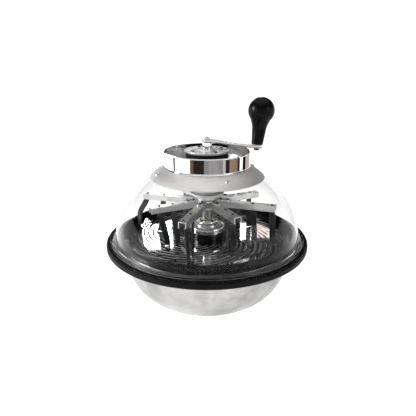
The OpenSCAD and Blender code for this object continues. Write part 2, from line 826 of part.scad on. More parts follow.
module main_shaft() {
    spigot = spigot_flats / 2;
    color(steel) difference() {
        union() {
            hexagon(hex_flats, hex_low, hex_top);
            rod(shaft_r, hex_top, crank_low);
            translate([-spigot, -spigot, crank_low]) cube([spigot_flats, spigot_flats, crank_t]);
        }
        rod(bolt_m, crank_top - 20, crank_top + eps);
        translate([0, 0, neck_top - neck_top_h / 2]) rotate([0, 90, 0]) rod(2, shaft_r - 1, shaft_r + 1);
    }
}

module shaft_collar() {
    color(steel) tube(collar_top_r, shaft_r, barrel_top, crank_low);
}

// Side view of the crank arm: distance from the shaft, height
function crank_side() =
    let (slope = tan(knob_lean), bend = crank_bend, end = crank_len + crank_tip)
    [[-crank_w / 2, crank_top], [crank_flat, crank_top], bend,
     [end, bend[1] - (end - bend[0]) * slope],
     [end, bend[1] - (end - bend[0]) * slope - crank_t], bend - [1, crank_t],
     [crank_flat, crank_low], [-crank_w / 2, crank_low]];

// Puts its children on the knob's axis, with z = 0 on the crank arm's top
module at_knob() {
    rotate(crank_angle) translate([knob_foot[0], 0, knob_foot[1]]) rotate([0, knob_lean, 0])
        children();
}

module crank_arm() {
    half = crank_w / 2;
    color(steel) difference() {
        rotate(crank_angle) intersection() {
            translate([0, half, 0]) rotate([90, 0, 0]) linear_extrude(crank_w) polygon(crank_side());
            translate([0, 0, crank_low - crank_drop - 30]) linear_extrude(crank_drop + 60) union() {
                circle(r = half);
                translate([0, -half]) square([crank_len, crank_w]);
                translate([crank_len, 0]) circle(r = half);
            }
        }
        translate([0, 0, crank_low - eps]) linear_extrude(crank_t + 2 * eps)
            square(spigot_flats + slip, center = true);
        at_knob() rod(spindle_thread_r, -crank_t - 3, 3);
    }
}

module crank_bolt() {
    color(steel) {
        tube(7, bolt_m, crank_top, crank_top + 1);
        hexagon(9, crank_top + 1, crank_top + 5);
        rod(bolt_m, crank_top - 19, crank_top + 1);
    }
}

module knob_spindle() {
    color(steel) at_knob() {
        rod(spindle_thread_r, -crank_t - spindle_nut_h - 1, 0);
        rod(spindle_flange_r, 0, spindle_flange_t);
        rod(spindle_r, spindle_flange_t, spindle_len);
        turned([[0, spindle_len], [spindle_head_r, spindle_len], [spindle_r, spindle_len + spindle_head_h],
                [0, spindle_len + spindle_head_h]]);
    }
}

module spindle_nut() {
    color(steel) at_knob() hex_nut(10, spindle_thread_r, -crank_t - spindle_nut_h, -crank_t - slip);
}

module knob() {
    z0 = spindle_flange_t + knob_gap;
    ball_z = z0 + knob_h - knob_r;
    join = [knob_r * cos(-40), ball_z + knob_r * sin(-40)];
    stem_top = [knob_foot_r + 2.7, z0 + 33];
    bore = spindle_r + fit;
    room = spindle_head_r + 0.4;
    color(black) at_knob() turned(concat(
        [[bore, z0], [knob_foot_r - 0.8, z0], [knob_foot_r, z0 + 0.8]],
        curve([stem_top, stem_top + [1.5, 8], join], 5),
        arc([0, ball_z], knob_r, knob_r, -36, 90, 16),
        [[0, spindle_len + spindle_head_h + 2], [room, spindle_len + spindle_head_h + 0.5],
         [room, spindle_len - 0.4], [bore, spindle_len - 0.4]]));
}

// ---- hub and arms ----

module hub_body() {
    color(steel) turned([[shaft_r, sleeve_low], [sleeve_r, sleeve_low], [sleeve_r, hub_low],
                         [hub_r, hub_low], [hub_r, arm_low], [hub_core_r, arm_low],
                         [hub_core_r, arm_top], [shaft_r, arm_top]]);
}

// The cap plate has one finger over each arm and a neck that carries the grub screw
module hub_cap() {
    finger_w = arm_w + 1;
    reach = hub_r + finger_reach;
    color(steel) difference() {
        union() {
            translate([0, 0, arm_top]) linear_extrude(hub_cap_t) difference() {
                union() {
                    circle(r = hub_r + 3);
                    for (i = [0 : 7]) rotate(arm_turn + 45 * i) {
                        translate([0, -finger_w / 2]) square([reach - finger_w / 2, finger_w]);
                        translate([reach - finger_w / 2, 0]) circle(r = finger_w / 2);
                    }
                }
                circle(r = shaft_r);
                for (spot = hub_screw_spots) around(8, spot, arm_turn) circle(r = hub_screw_r);
            }
            tube(neck_r, shaft_r, cap_plate_top, neck_top);
            tube(sleeve_r, shaft_r, neck_top, tube_low);
        }
        translate([0, 0, neck_top - neck_top_h / 2]) rotate([0, 90, 0]) rod(2, shaft_r - 1, neck_r + 1);
    }
}

module hub_screws() {
    color(steel) for (spot = hub_screw_spots) around(8, spot, arm_turn)
        translate([0, 0, cap_plate_top])
            button_screw(hub_screw_r, hub_screw_head_r, hub_screw_head_h, hub_cap_t + arm_wall + 2);
}

module hub_grub_screw() {
    color(black) translate([0, 0, neck_top - neck_top_h / 2]) rotate([0, 90, 0]) difference() {
        rod(2, shaft_r - 1 + slip, neck_r - 1);
        translate([0, 0, neck_r - 4]) cylinder(r = 1.1, h = 4, $fn = 6);
    }
}

// One C-shaped channel along +X, open downward
module channel(tip_r, spots) {
    inside = arm_w - 2 * arm_wall;
    color("lightgrey") difference() {
        translate([arm_root_r, 0, arm_low]) rotate([90, 0, 90]) linear_extrude(tip_r - arm_root_r)
            difference() {
                translate([-arm_w / 2, 0]) square([arm_w, arm_h]);
                translate([-inside / 2, arm_wall]) square([inside, arm_h - 2 * arm_wall]);
                translate([-arm_w / 2 + arm_lip, -eps])
                    square([arm_w - 2 * arm_lip, arm_wall + 2 * eps]);
            }
        for (spot = concat(hub_screw_spots, spots)) translate([spot, 0, 0])
            rod(hub_screw_r, arm_top - arm_wall - eps, arm_top + eps);
    }
}

module arm_long(i) {
    rotate(arm_turn + 90 * i) channel(long_tip_r, flap_spots_long);
}

module arm_short(i) {
    rotate(arm_turn - 45 + 90 * i) channel(short_tip_r, flap_spots_short);
}

// A flap hangs from a tab under the arm's web; its lower end drifts outward by lean
module flap(spot, lean) {
    drop = flap_top - flap_low;
    middle = curve([[spot, flap_top], [spot, flap_top - drop * 0.55], [spot + lean, flap_low]], 8);
    outline = concat([for (p = middle) p - [flap_w / 2, 0]],
                     [for (p = reversed(middle)) p + [flap_w / 2, 0]]);
    color(black) {
        translate([0, flap_side, 0]) rotate([90, 0, 0]) linear_extrude(flap_t) polygon(outline);
        translate([spot, 0, flap_top - flap_t]) difference() {
            translate([-flap_w / 2, -flap_side, 0]) cube([flap_w, 2 * flap_side - flap_t / 2, flap_t]);
            translate([0, 0, -eps]) cylinder(r = hub_screw_r, h = flap_t + 2 * eps);
        }
    }
}

module long_arm_flaps() {
    for (i = [0 : 3]) rotate(arm_turn + 90 * i) {
        flap(flap_spots_long[0], lean_long_outer[i]);
        flap(flap_spots_long[1], lean_long_inner[i]);
    }
}

module short_arm_flaps() {
    for (i = [0 : 3]) rotate(arm_turn - 45 + 90 * i) {
        flap(flap_spots_short[0], lean_short_outer[i]);
        flap(flap_spots_short[1], lean_short_inner[i]);
    }
}

module flap_screws() {
    color(steel) {
        for (spot = flap_spots_long) around(4, spot, arm_turn) flap_screw();
        for (spot = flap_spots_short) around(4, spot, arm_turn - 45) flap_screw();
    }
}

// A screw through the arm's web and the flap's tab, with its nut underneath
module flap_screw() {
    nut_top = flap_top - flap_t;
    translate([0, 0, arm_top])
        button_screw(hub_screw_r, hub_screw_head_r, hub_screw_head_h, arm_wall + flap_t + 3);
    hexagon(flap_nut_flats, nut_top - 2.4, nut_top);
}

// ---- nodes ----

bowl();
rim_edging();
slotted_plate();
pan_wall();
gearbox_base();
gearbox_cap();
gearbox_collar();
collar_screws();
base_screws();
input_bush();
output_bush();
idler_pins();
input_gear();
idler_gear(1);  // idler_gear_right
idler_gear(-1);  // idler_gear_left
output_shaft();
blade_hub();
blade(blade_top - blade_t, 20);  // upper_blade
blade(blade_low, 110);  // lower_blade
blade_washer();
blade_nut();
dome();
skirt();
ring();
bearing_housing();
housing_cover();
cover_screws();
clamp_flange();
clamp_screws();
clamp_nuts();
skirt_bolts();
skirt_spacers();
skirt_nuts();
outer_race(upper_bearing_z);  // upper_outer_race
outer_race(lower_bearing_z);  // lower_outer_race
bearing_balls();
inner_race(upper_bearing_z);  // upper_inner_race
inner_race(lower_bearing_z);  // lower_inner_race
main_shaft();
shaft_collar();
crank_arm();
crank_bolt();
knob_spindle();
spindle_nut();
knob();
hub_body();
hub_cap();
hub_screws();
hub_grub_screw();
long_arm_flaps();
short_arm_flaps();
flap_screws();
for (i = [0 : 3]) {
    arm_long(i);
    arm_short(i);
}
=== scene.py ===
import sys

import json
import logging
import math
from dataclasses import dataclass, field
from enum import Enum

import bmesh
import bpy
from mathutils import Matrix, Vector


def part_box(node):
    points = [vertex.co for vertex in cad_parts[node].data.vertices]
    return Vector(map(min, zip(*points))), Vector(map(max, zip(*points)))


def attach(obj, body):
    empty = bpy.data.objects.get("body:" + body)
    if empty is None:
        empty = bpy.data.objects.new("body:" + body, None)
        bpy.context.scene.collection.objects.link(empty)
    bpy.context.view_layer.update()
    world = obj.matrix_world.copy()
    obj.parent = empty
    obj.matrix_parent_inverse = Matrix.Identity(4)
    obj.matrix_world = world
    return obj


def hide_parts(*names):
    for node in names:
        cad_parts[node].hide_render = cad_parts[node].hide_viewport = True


# Looks of a hand-cranked bowl trimmer: a satin bowl with black edging, a polished slotted pan
# with its gearbox, a clear dome with a spun skirt and a chrome ring, and the cranked rotor.
# Sizes are in millimetres in the classes and become metres when a mesh is made. A length under
# TINY counts as nothing, faces that meet at less than FLAT lie in one plane, and points of a CAD
# mesh closer than WELD, in metres, are one point.

MM = 0.001
TINY = 1e-6
FLAT = math.radians(0.5)
WELD = 2e-6
LOG = logging.getLogger("trimmer")
Point = tuple[float, float]
Profile = list[Point]
Triple = tuple[float, float, float]


# ---------------------------------------------------------------------------
# Outlines of turned pieces
# ---------------------------------------------------------------------------


def arc(centre: Point, rx: float, rz: float, start: float, end: float, steps: int) -> Profile:
    """Points along an arc of an ellipse.

    Args:
        centre: Middle of the ellipse.
        rx: Half axis along the radius.
        rz: Half axis along the height.
        start: First angle in degrees.
        end: Last angle in degrees.
        steps: Number of chords.

    Returns:
        The points, both ends included.
    """
    angles = [math.radians(start + (end - start) * i / steps) for i in range(steps + 1)]
    return [(centre[0] + rx * math.cos(a), centre[1] + rz * math.sin(a)) for a in angles]


def bend(a: Point, b: Point, c: Point, steps: int) -> Profile:
    """Points along a quadratic curve from a to c that b pulls.

    Args:
        a: First point.
        b: Control point.
        c: Last point.
        steps: Number of chords.

    Returns:
        The points, both ends included.
    """
    out = []
    for i in range(steps + 1):
        t = i / steps
        u = 1 - t
        out.append(
            (
                u * u * a[0] + 2 * t * u * b[0] + t * t * c[0],
                u * u * a[1] + 2 * t * u * b[1] + t * t * c[1],
            )
        )
    return out


def eased(
    points: Profile, radius: float, steps: int = 3, least: float = 24.0, share: float = 0.45
) -> Profile:
    """A closed outline with its sharp corners rounded.

    Args:
        points: Corners of the outline.
        radius: Length cut from each side of a corner, in millimetres.
        steps: Chords in each rounded corner.
        least: Corners that turn by less than this many degrees stay.
        share: The most that a corner cuts from a side, as a share of the side.

    Returns:
        The outline with more points.
    """
    out: Profile = []
    count = len(points)
    for i, here in enumerate(points):
        before = Vector(points[i - 1]) - Vector(here)
        after = Vector(points[(i + 1) % count]) - Vector(here)
        if before.length < TINY or after.length < TINY or here[0] < TINY:
            out.append(here)
            continue
        turn = 180 - math.degrees(before.angle(after))
        if turn < least:
            out.append(here)
            continue
        cut = min(radius, share * before.length, share * after.length)
        a = Vector(here) + before.normalized() * cut
        c = Vector(here) + after.normalized() * cut
        out.extend(bend(tuple(a), here, tuple(c), steps))
    return out


def held(points: Profile, span: float = 5.0, reach: float = 0.35) -> Profile:
    """A closed outline with points added near the ends of its long straight runs.

    They keep the shading of a rounded corner from spreading over the flat beside it.

    Args:
        points: Corners of the outline.
        span: Runs longer than this are held, in millimetres.
        reach: Distance of the added points from the ends of their run.

    Returns:
        The outline with more points.
    """
    out: Profile = []
    for a, b in zip(points, points[1:] + points[:1]):
        out.append(a)
        run = math.dist(a, b)
        if run > span:
            for share in (reach / run, 1 - reach / run):
                out.append((a[0] + (b[0] - a[0]) * share, a[1] + (b[1] - a[1]) * share))
    return out


# ---------------------------------------------------------------------------
# Meshes
# ---------------------------------------------------------------------------


def as_object(name: str, mesh: bpy.types.Mesh) -> bpy.types.Object:
    """Links a mesh to the scene as an object at the origin.

    Args:
        name: Name of the object.
        mesh: Its mesh.

    Returns:
        The object.
    """
    piece = bpy.data.objects.new(name, mesh)
    bpy.context.scene.collection.objects.link(piece)
    return piece


def settle(mesh: bpy.types.Mesh, sharp: float = 30.0, outward: bool = True) -> bpy.types.Mesh:
    """Smooths a mesh's shading between its sharp edges.

    Args:
        mesh: The mesh, closed.
        sharp: Edges that turn by more than this many degrees stay sharp.
        outward: Turns all faces outwards first.

    Returns:
        The same mesh.
    """
    if outward:
        work = bmesh.new()
        work.from_mesh(mesh)
        bmesh.ops.recalc_face_normals(work, faces=work.faces)
        work.to_mesh(mesh)
        work.free()
    mesh.shade_smooth()
    mesh.set_sharp_from_angle(angle=math.radians(sharp))
    mesh.update()
    return mesh


def turned(name: str, outline: Profile, segments: int, sharp: float = 30.0) -> bpy.types.Mesh:
    """A closed outline spun about the Z axis.

    Args:
        name: Name of the mesh.
        outline: Radius and height of each corner, in millimetres.
        segments: Number of steps around the axis.
        sharp: Edges that turn by more than this many degrees stay sharp.

    Returns:
        A closed mesh in metres.
    """
    verts: list[Triple] = []
    rings: list[list[int]] = []
    for r, z in held(outline):
        if r < TINY:
            rings.append([len(verts)] * segments)
            verts.append((0.0, 0.0, z * MM))
            continue
        rings.append(list(range(len(verts), len(verts) + segments)))
        for k in range(segments):
            a = 2 * math.pi * k / segments
            verts.append((r * math.cos(a) * MM, r * math.sin(a) * MM, z * MM))
    faces = []
    for i, low in enumerate(rings):
        high = rings[(i + 1) % len(rings)]
        if low[0] == low[1] and high[0] == high[1]:
            continue
        for k in range(segments):
            n = (k + 1) % segments
            corners = [low[k], low[n], high[n], high[k]]
            faces.append([v for j, v in enumerate(corners) if v not in corners[:j]])
    mesh = bpy.data.meshes.new(name)
    mesh.from_pydata(verts, [], faces)
    return settle(mesh, sharp)


def stacked(name: str, rings: list[Triple], segments: int = 36) -> bpy.types.Mesh:
    """A closed stack of rings about the Z axis, each between a circle and a hexagon.

    Args:
        name: Name of the mesh.
        rings: Height, radius across the flats or of the circle, and 1 for a hexagon or 0 for a
            circle, from one end of the stack to the other.
        segments: Corners in each ring, a multiple of six.

    Returns:
        A closed mesh in metres.
    """
    verts: list[Triple] = []
    for z, r, hexagon in rings:
        for k in range(segments):
            a = 2 * math.pi * k / segments
            flat = math.cos((a % (math.pi / 3)) - math.pi / 6)
            reach = r / flat if hexagon else r
            verts.append((reach * math.cos(a) * MM, reach * math.sin(a) * MM, z * MM))
    faces: list[list[int]] = []
    for i in range(len(rings) - 1):
        for k in range(segments):
            n = (k + 1) % segments
            low, high = i * segments, (i + 1) * segments
            faces.append([low + k, low + n, high + n, high + k])
    faces.append(list(range(segments))[::-1])
    last = (len(rings) - 1) * segments
    faces.append([last + k for k in range(segments)])
    mesh = bpy.data.meshes.new(name)
    mesh.from_pydata(verts, [], faces)
    return settle(mesh, 35.0)


def eased_copy(node: str, width: float, segments: int = 2, sharp: float = 30.0) -> bpy.types.Mesh:
    """A copy of a CAD node's mesh with its sharp edges broken.

    Args:
        node: Name of the CAD node.
        width: Width of the broken edge in millimetres.
        segments: Steps across the broken edge.
        sharp: Edges that turn by more than this many degrees are broken.

    Returns:
        A closed mesh in metres.
    """
    work = bmesh.new()
    work.from_mesh(bpy.data.objects[node].data)
    bmesh.ops.remove_doubles(work, verts=work.verts, dist=WELD)
    bmesh.ops.dissolve_limit(
        work, angle_limit=math.radians(0.4), verts=work.verts, edges=work.edges, delimit=set()
    )
    edges = [
        e for e in work.edges
        if len(e.link_faces) == 2 and e.calc_face_angle(0.0) > math.radians(sharp)
    ]
    broken = set(edges)
    for face in work.faces:
        plane = all(e in broken or e.calc_face_angle(0.0) < FLAT for e in face.edges)
        face.material_index = int(plane)
    bmesh.ops.bevel(
        work, geom=edges, offset=width * MM, offset_type="OFFSET", segments=segments,
        profile=0.6, affect="EDGES", clamp_overlap=True, material=0,
    )
    mesh = bpy.data.meshes.new(node + "_eased")
    work.to_mesh(mesh)
    work.free()
    settle(mesh, 38.0, outward=False)
    for face in mesh.polygons:
        face.use_smooth = face.material_index == 0
        face.material_index = 0
    return mesh


def joined(name: str, meshes: list[bpy.types.Mesh]) -> bpy.types.Mesh:
    """Several meshes as one.

    Args:
        name: Name of the new mesh.
        meshes: The meshes, which are removed.

    Returns:
        The new mesh.
    """
    work = bmesh.new()
    for mesh in meshes:
        work.from_mesh(mesh)
        bpy.data.meshes.remove(mesh)
    mesh = bpy.data.meshes.new(name)
    work.to_mesh(mesh)
    work.free()
    return settle(mesh, 35.0, outward=False)


# ---------------------------------------------------------------------------
# Finishes
# ---------------------------------------------------------------------------


class Graph:
    """A node tree, with short calls to fill it."""

    def __init__(self, tree: bpy.types.NodeTree) -> None:
        """Empties the tree."""
        self.nodes, self.links = tree.nodes, tree.links
        self.nodes.clear()

    def node(
        self, kind: str, settings: dict[str, object] | None = None, **inputs: object
    ) -> bpy.types.Node:
        """Adds a node.

        Args:
            kind: Its type.
            settings: Properties of the node itself.
            **inputs: Values or sockets by input name, with underscores for spaces.

        Returns:
            The new node.
        """
        new = self.nodes.new(kind)
        for key, value in (settings or {}).items():
            setattr(new, key, value)
        for key, value in inputs.items():
            self.feed(new, key.replace("_", " "), value)
        return new

    def feed(self, node: bpy.types.Node, key: str | int, value: object) -> None:
        """Sets an input or links a socket to it.

        Args:
            node: The node.
            key: Name or number of its input.
            value: The value or socket.
        """
        socket = node.inputs[key]
        if isinstance(value, bpy.types.NodeSocket):
            self.links.new(value, socket)
        else:
            socket.default_value = value

    def end(self, kind: str, key: str | int, result: bpy.types.NodeSocket) -> None:
        """Adds an output node and links the tree's result to it."""
        self.feed(self.node(kind), key, result)

    def math(self, operation: str, *values: object) -> bpy.types.NodeSocket:
        """Adds a math node.

        Args:
            operation: What it works out.
            *values: Values or sockets that it works on.

        Returns:
            Its result.
        """
        new = self.node("ShaderNodeMath", {"operation": operation})
        for i, value in enumerate(values):
            self.feed(new, i, value)
        return new.outputs[0]

    def noise(
        self, where: bpy.types.NodeSocket, scale: float, detail: float = 3.0, rough: float = 0.5
    ) -> bpy.types.NodeSocket:
        """Adds a noise texture.

        Args:
            where: The coordinates that it reads.
            scale: Waves in a metre.
            detail: Octaves of finer noise.
            rough: Strength of the finer noise.

        Returns:
            Its factor, about 0.3 to 0.7.
        """
        new = self.node(
            "ShaderNodeTexNoise", Vector=where, Scale=scale, Detail=detail, Roughness=rough
        )
        return new.outputs["Fac"]

    def hairs(
        self, where: bpy.types.NodeSocket, scale: Triple, turn: Triple
    ) -> bpy.types.NodeSocket:
        """Noise that is drawn out to fine lines by the scale and turned by the angles."""
        along = self.node("ShaderNodeMapping", Vector=where, Scale=scale, Rotation=turn)
        return self.noise(along.outputs[0], 1.0, 2.0)

    def spread(
        self, value: bpy.types.NodeSocket, low: float, high: float, a: float = 0.3, b: float = 0.7
    ) -> bpy.types.NodeSocket:
        """Maps a value from one range to another.

        Args:
            value: The value.
            low: What a becomes.
            high: What b becomes.
            a: Start of the value's range.
            b: End of the value's range.

        Returns:
            The mapped value, kept within its range.
        """
        new = self.node("ShaderNodeMapRange")
        for i, part in enumerate((value, a, b, low, high)):
            self.feed(new, i, part)
        return new.outputs[0]

    def blend(self, share: object, a: object, b: object) -> bpy.types.NodeSocket:
        """Mixes two colours.

        Args:
            share: Share of the second colour.
            a: First colour.
            b: Second colour.

        Returns:
            The mixed colour.
        """
        new = self.node("ShaderNodeMix", {"data_type": "RGBA"})
        for key, value in ((0, share), (6, a), (7, b)):
            self.feed(new, key, value)
        return new.outputs[2]

    def part(self, where: bpy.types.NodeSocket, index: int) -> bpy.types.NodeSocket:
        """The X, Y or Z of a vector, counted from 0."""
        return self.node("ShaderNodeSeparateXYZ", Vector=where).outputs[index]

    def radius(self, where: bpy.types.NodeSocket) -> bpy.types.NodeSocket:
        """Distance of the given coordinates from the Z axis.

        Args:
            where: The coordinates.

        Returns:
            The distance.
        """
        flat = self.node("ShaderNodeCombineXYZ", X=self.part(where, 0), Y=self.part(where, 1))
        length = self.node("ShaderNodeVectorMath", {"operation": "LENGTH"})
        self.feed(length, 0, flat.outputs[0])
        return length.outputs["Value"]

    def bump(
        self, height: bpy.types.NodeSocket, strength: float, distance: float
    ) -> bpy.types.NodeSocket:
        """Adds a bump node and returns its normal."""
        new = self.node("ShaderNodeBump", Strength=strength, Distance=distance, Height=height)
        return new.outputs["Normal"]

    def shader(self, **inputs: object) -> bpy.types.NodeSocket:
        """Adds a Principled shader and returns its result."""
        return self.node("ShaderNodeBsdfPrincipled", **inputs).outputs[0]

    def metal(
        self, base: bpy.types.NodeSocket, rough: bpy.types.NodeSocket,
        normal: bpy.types.NodeSocket, grain: float = 0.0,
    ) -> bpy.types.NodeSocket:
        """Adds a metal shader, with a grain of drawn or spun lines, and returns its result."""
        return self.shader(
            Base_Color=base, Metallic=1.0, Roughness=rough, Normal=normal, Anisotropic=grain
        )


def colour(tone: Triple, share: float = 1.0) -> tuple[float, float, float, float]:
    """A linear colour, dimmed to a share of itself, with full alpha."""
    return (*(part * share for part in tone), 1.0)


@dataclass(frozen=True)
class Finish:
    """What every finish has: a name, and nodes that its own class adds."""

    name: str

    def surface(self, g: Graph, where: bpy.types.NodeSocket) -> bpy.types.NodeSocket:
        """Adds the nodes, on Object coordinates, and returns the shader's result."""
        raise NotImplementedError

    def material(self) -> bpy.types.Material:
        """Builds the material.

        Returns:
            The material.
        """
        made = bpy.data.materials.new(self.name)
        made.use_nodes = True
        g = Graph(made.node_tree)
        where = g.node("ShaderNodeTexCoord").outputs["Object"]
        g.end("ShaderNodeOutputMaterial", "Surface", self.surface(g, where))
        return made


@dataclass(frozen=True)
class SpunSteel(Finish):
    """Sheet steel spun on a lathe: fine rings around the axis, soft blotches and smears."""

    tone: Triple
    dark: float
    rough: float
    ring_depth: float = 0.00002
    ring_step: float = 0.0011
    blotch: float = 0.5

    def surface(self, g: Graph, where: bpy.types.NodeSocket) -> bpy.types.NodeSocket:
        """Adds the rings, blotches and smears.

        Args:
            g: The material's node tree.
            where: Object coordinates.

        Returns:
            The shader's result.
        """
        along = g.math("ADD", g.radius(where), g.math("MULTIPLY", g.part(where, 2), 0.9))
        lines = g.node("ShaderNodeCombineXYZ", X=along).outputs[0]
        fine = g.noise(lines, 1.0 / self.ring_step, 2.0)
        broad = g.noise(lines, 0.12 / self.ring_step, 2.0)
        cloud = g.noise(where, 24.0, 4.0, 0.62)
        smear = g.noise(where, 7.0, 2.0, 0.5)
        share = g.spread(cloud, 0.0, self.blotch, 0.36, 0.62)
        share = g.math("MULTIPLY", share, g.spread(smear, 0.25, 1.0, 0.35, 0.65))
        base = g.blend(share, colour(self.tone), colour(self.tone, self.dark))
        rough = g.math("ADD", self.rough - 0.06, g.spread(cloud, 0.0, 0.16, 0.3, 0.7))
        rough = g.math("ADD", rough, g.spread(fine, -0.03, 0.05))
        lift = g.math("ADD", g.math("MULTIPLY", fine, 0.5), broad)
        return g.metal(base, rough, g.bump(lift, 0.35, self.ring_depth), 0.35)


@dataclass(frozen=True)
class Polished(Finish):
    """Bright polished or plated metal: nearly a mirror, with faint waves, wipes and hairlines."""

    tone: Triple
    rough: float
    wave: float
    wipe: float
    wave_scale: float = 9.0
    edge_highlight: bool = False

    def surface(self, g: Graph, where: bpy.types.NodeSocket) -> bpy.types.NodeSocket:
        """Adds the waves, wipes and hairlines, and where asked a painted highlight: a pale colour
        on faces that tilt between flat and upright, the bevels of cut edges.

        Args:
            g: The material's node tree.
            where: Object coordinates.

        Returns:
            The shader's result.
        """
        slow = g.noise(where, self.wave_scale, 1.0, 0.4)
        wipe = g.noise(where, 38.0, 5.0, 0.65)
        hair = g.hairs(where, (900.0, 60.0, 60.0), (0.1, 0.2, 0.5))
        rough = g.math("ADD", self.rough, g.spread(wipe, 0.0, self.wipe, 0.5, 0.8))
        rough = g.math("ADD", rough, g.spread(hair, 0.0, 0.03, 0.62, 0.8))
        worn = g.spread(wipe, 0.0, 0.5, 0.55, 0.8)
        base = g.blend(worn, colour(self.tone), colour(self.tone, 0.86))
        # Painted highlight: faces that tilt between flat and upright, mostly the bevels of the
        # plate's slots, turn pale to stand in for edges catching light.
        if self.edge_highlight:
            up = g.part(g.node("ShaderNodeNewGeometry").outputs["Normal"], 2)
            edge = g.math("LESS_THAN", up, 0.97)
            edge = g.math("MULTIPLY", edge, g.math("GREATER_THAN", up, 0.05))
            base = g.blend(edge, base, colour((0.95, 0.94, 0.92)))
            rough = g.math("ADD", rough, g.math("MULTIPLY", edge, 0.3))
        return g.metal(base, rough, g.bump(slow, 0.6, self.wave))


@dataclass(frozen=True)
class Drawn(Finish):
    """Drawn or rolled metal with fine lines along one direction in the XY plane."""

    tone: Triple
    angle: float
    rough: float
    depth: float = 0.00003
    line: float = 0.0004

    def surface(self, g: Graph, where: bpy.types.NodeSocket) -> bpy.types.NodeSocket:
        """Adds the lines and dull patches.

        Args:
            g: The material's node tree.
            where: Object coordinates.

        Returns:
            The shader's result.
        """
        heading = (0.0, 0.0, -math.radians(self.angle))
        along = g.node("ShaderNodeMapping", Vector=where, Rotation=heading).outputs[0]
        scale = (14.0, 1.0 / self.line, 1.0 / self.line)
        squeezed = g.node("ShaderNodeMapping", Vector=along, Scale=scale).outputs[0]
        lines = g.noise(squeezed, 1.0, 3.0, 0.6)
        cloud = g.noise(where, 60.0, 3.0, 0.6)
        rough = g.math("ADD", self.rough, g.spread(lines, -0.08, 0.1))
        rough = g.math("ADD", rough, g.spread(cloud, -0.03, 0.08))
        dull = g.spread(g.math("ADD", lines, cloud), 0.0, 0.8, 0.8, 1.25)
        base = g.blend(dull, colour(self.tone), colour(self.tone, 0.72))
        return g.metal(base, rough, g.bump(lines, 0.5, self.depth), 0.3)


@dataclass(frozen=True)
class Machined(Finish):
    """Turned, cut or sintered metal: short tool marks and a slight stain."""

    tone: Triple
    stain: Triple
    rough: float
    grain: float = 420.0

    def surface(self, g: Graph, where: bpy.types.NodeSocket) -> bpy.types.NodeSocket:
        """Adds the tool marks and the stain.

        Args:
            g: The material's node tree.
            where: Object coordinates.

        Returns:
            The shader's result.
        """
        grain = g.noise(where, self.grain, 4.0, 0.6)
        cloud = g.noise(where, 70.0, 3.0)
        along = g.math("ADD", g.radius(where), g.part(where, 2))
        marks = g.math("SINE", g.math("MULTIPLY", along, 9000.0))
        rough = g.math("ADD", self.rough, g.spread(grain, -0.05, 0.12))
        base = g.blend(g.spread(cloud, 0.0, 0.7, 0.45, 0.75), colour(self.tone), colour(self.stain))
        lift = g.math("ADD", g.math("MULTIPLY", marks, 0.25), grain)
        return g.metal(base, rough, g.bump(lift, 0.3, 0.00002))


@dataclass(frozen=True)
class Rubber(Finish):
    """Black rubber: a fine matt skin with pale dust and slight waves."""

    tone: Triple
    dust: Triple
    dusty: float
    rough: float
    shine: float

    def surface(self, g: Graph, where: bpy.types.NodeSocket) -> bpy.types.NodeSocket:
        """Adds the skin, dust and waves.

        Args:
            g: The material's node tree.
            where: Object coordinates.

        Returns:
            The shader's result.
        """
        skin = g.noise(where, 1300.0, 3.0, 0.6)
        cloud = g.noise(where, 55.0, 4.0, 0.65)
        slow = g.noise(where, 14.0, 2.0)
        dust = g.spread(cloud, 0.0, self.dusty, 0.5, 0.8)
        base = g.blend(dust, colour(self.tone), colour(self.dust))
        rough = g.math("ADD", self.rough, g.spread(cloud, -0.06, 0.14))
        normal = g.bump(g.math("ADD", g.math("MULTIPLY", skin, 0.25), slow), 0.4, 0.00012)
        return g.shader(
            Base_Color=base, Roughness=rough, Normal=normal, Specular_IOR_Level=self.shine
        )


@dataclass(frozen=True)
class Moulded(Finish):
    """Black moulded plastic or gloss paint: a soft shine over a fine grain, faintly handled."""

    tone: Triple
    worn: Triple
    rough: float
    grain: float = 0.000015
    grain_scale: float = 1500.0
    shine: float = 0.5

    def surface(self, g: Graph, where: bpy.types.NodeSocket) -> bpy.types.NodeSocket:
        """Adds the grain and the marks of handling.

        Args:
            g: The material's node tree.
            where: Object coordinates.

        Returns:
            The shader's result.
        """
        grain = g.noise(where, self.grain_scale, 2.0)
        marks = g.noise(where, 45.0, 5.0, 0.7)
        base = g.blend(g.spread(marks, 0.0, 0.6, 0.55, 0.8), colour(self.tone), colour(self.worn))
        rough = g.math("ADD", self.rough, g.spread(marks, -0.04, 0.1))
        normal = g.bump(grain, 0.5, self.grain)
        return g.shader(
            Base_Color=base, Roughness=rough, Normal=normal, Specular_IOR_Level=self.shine
        )


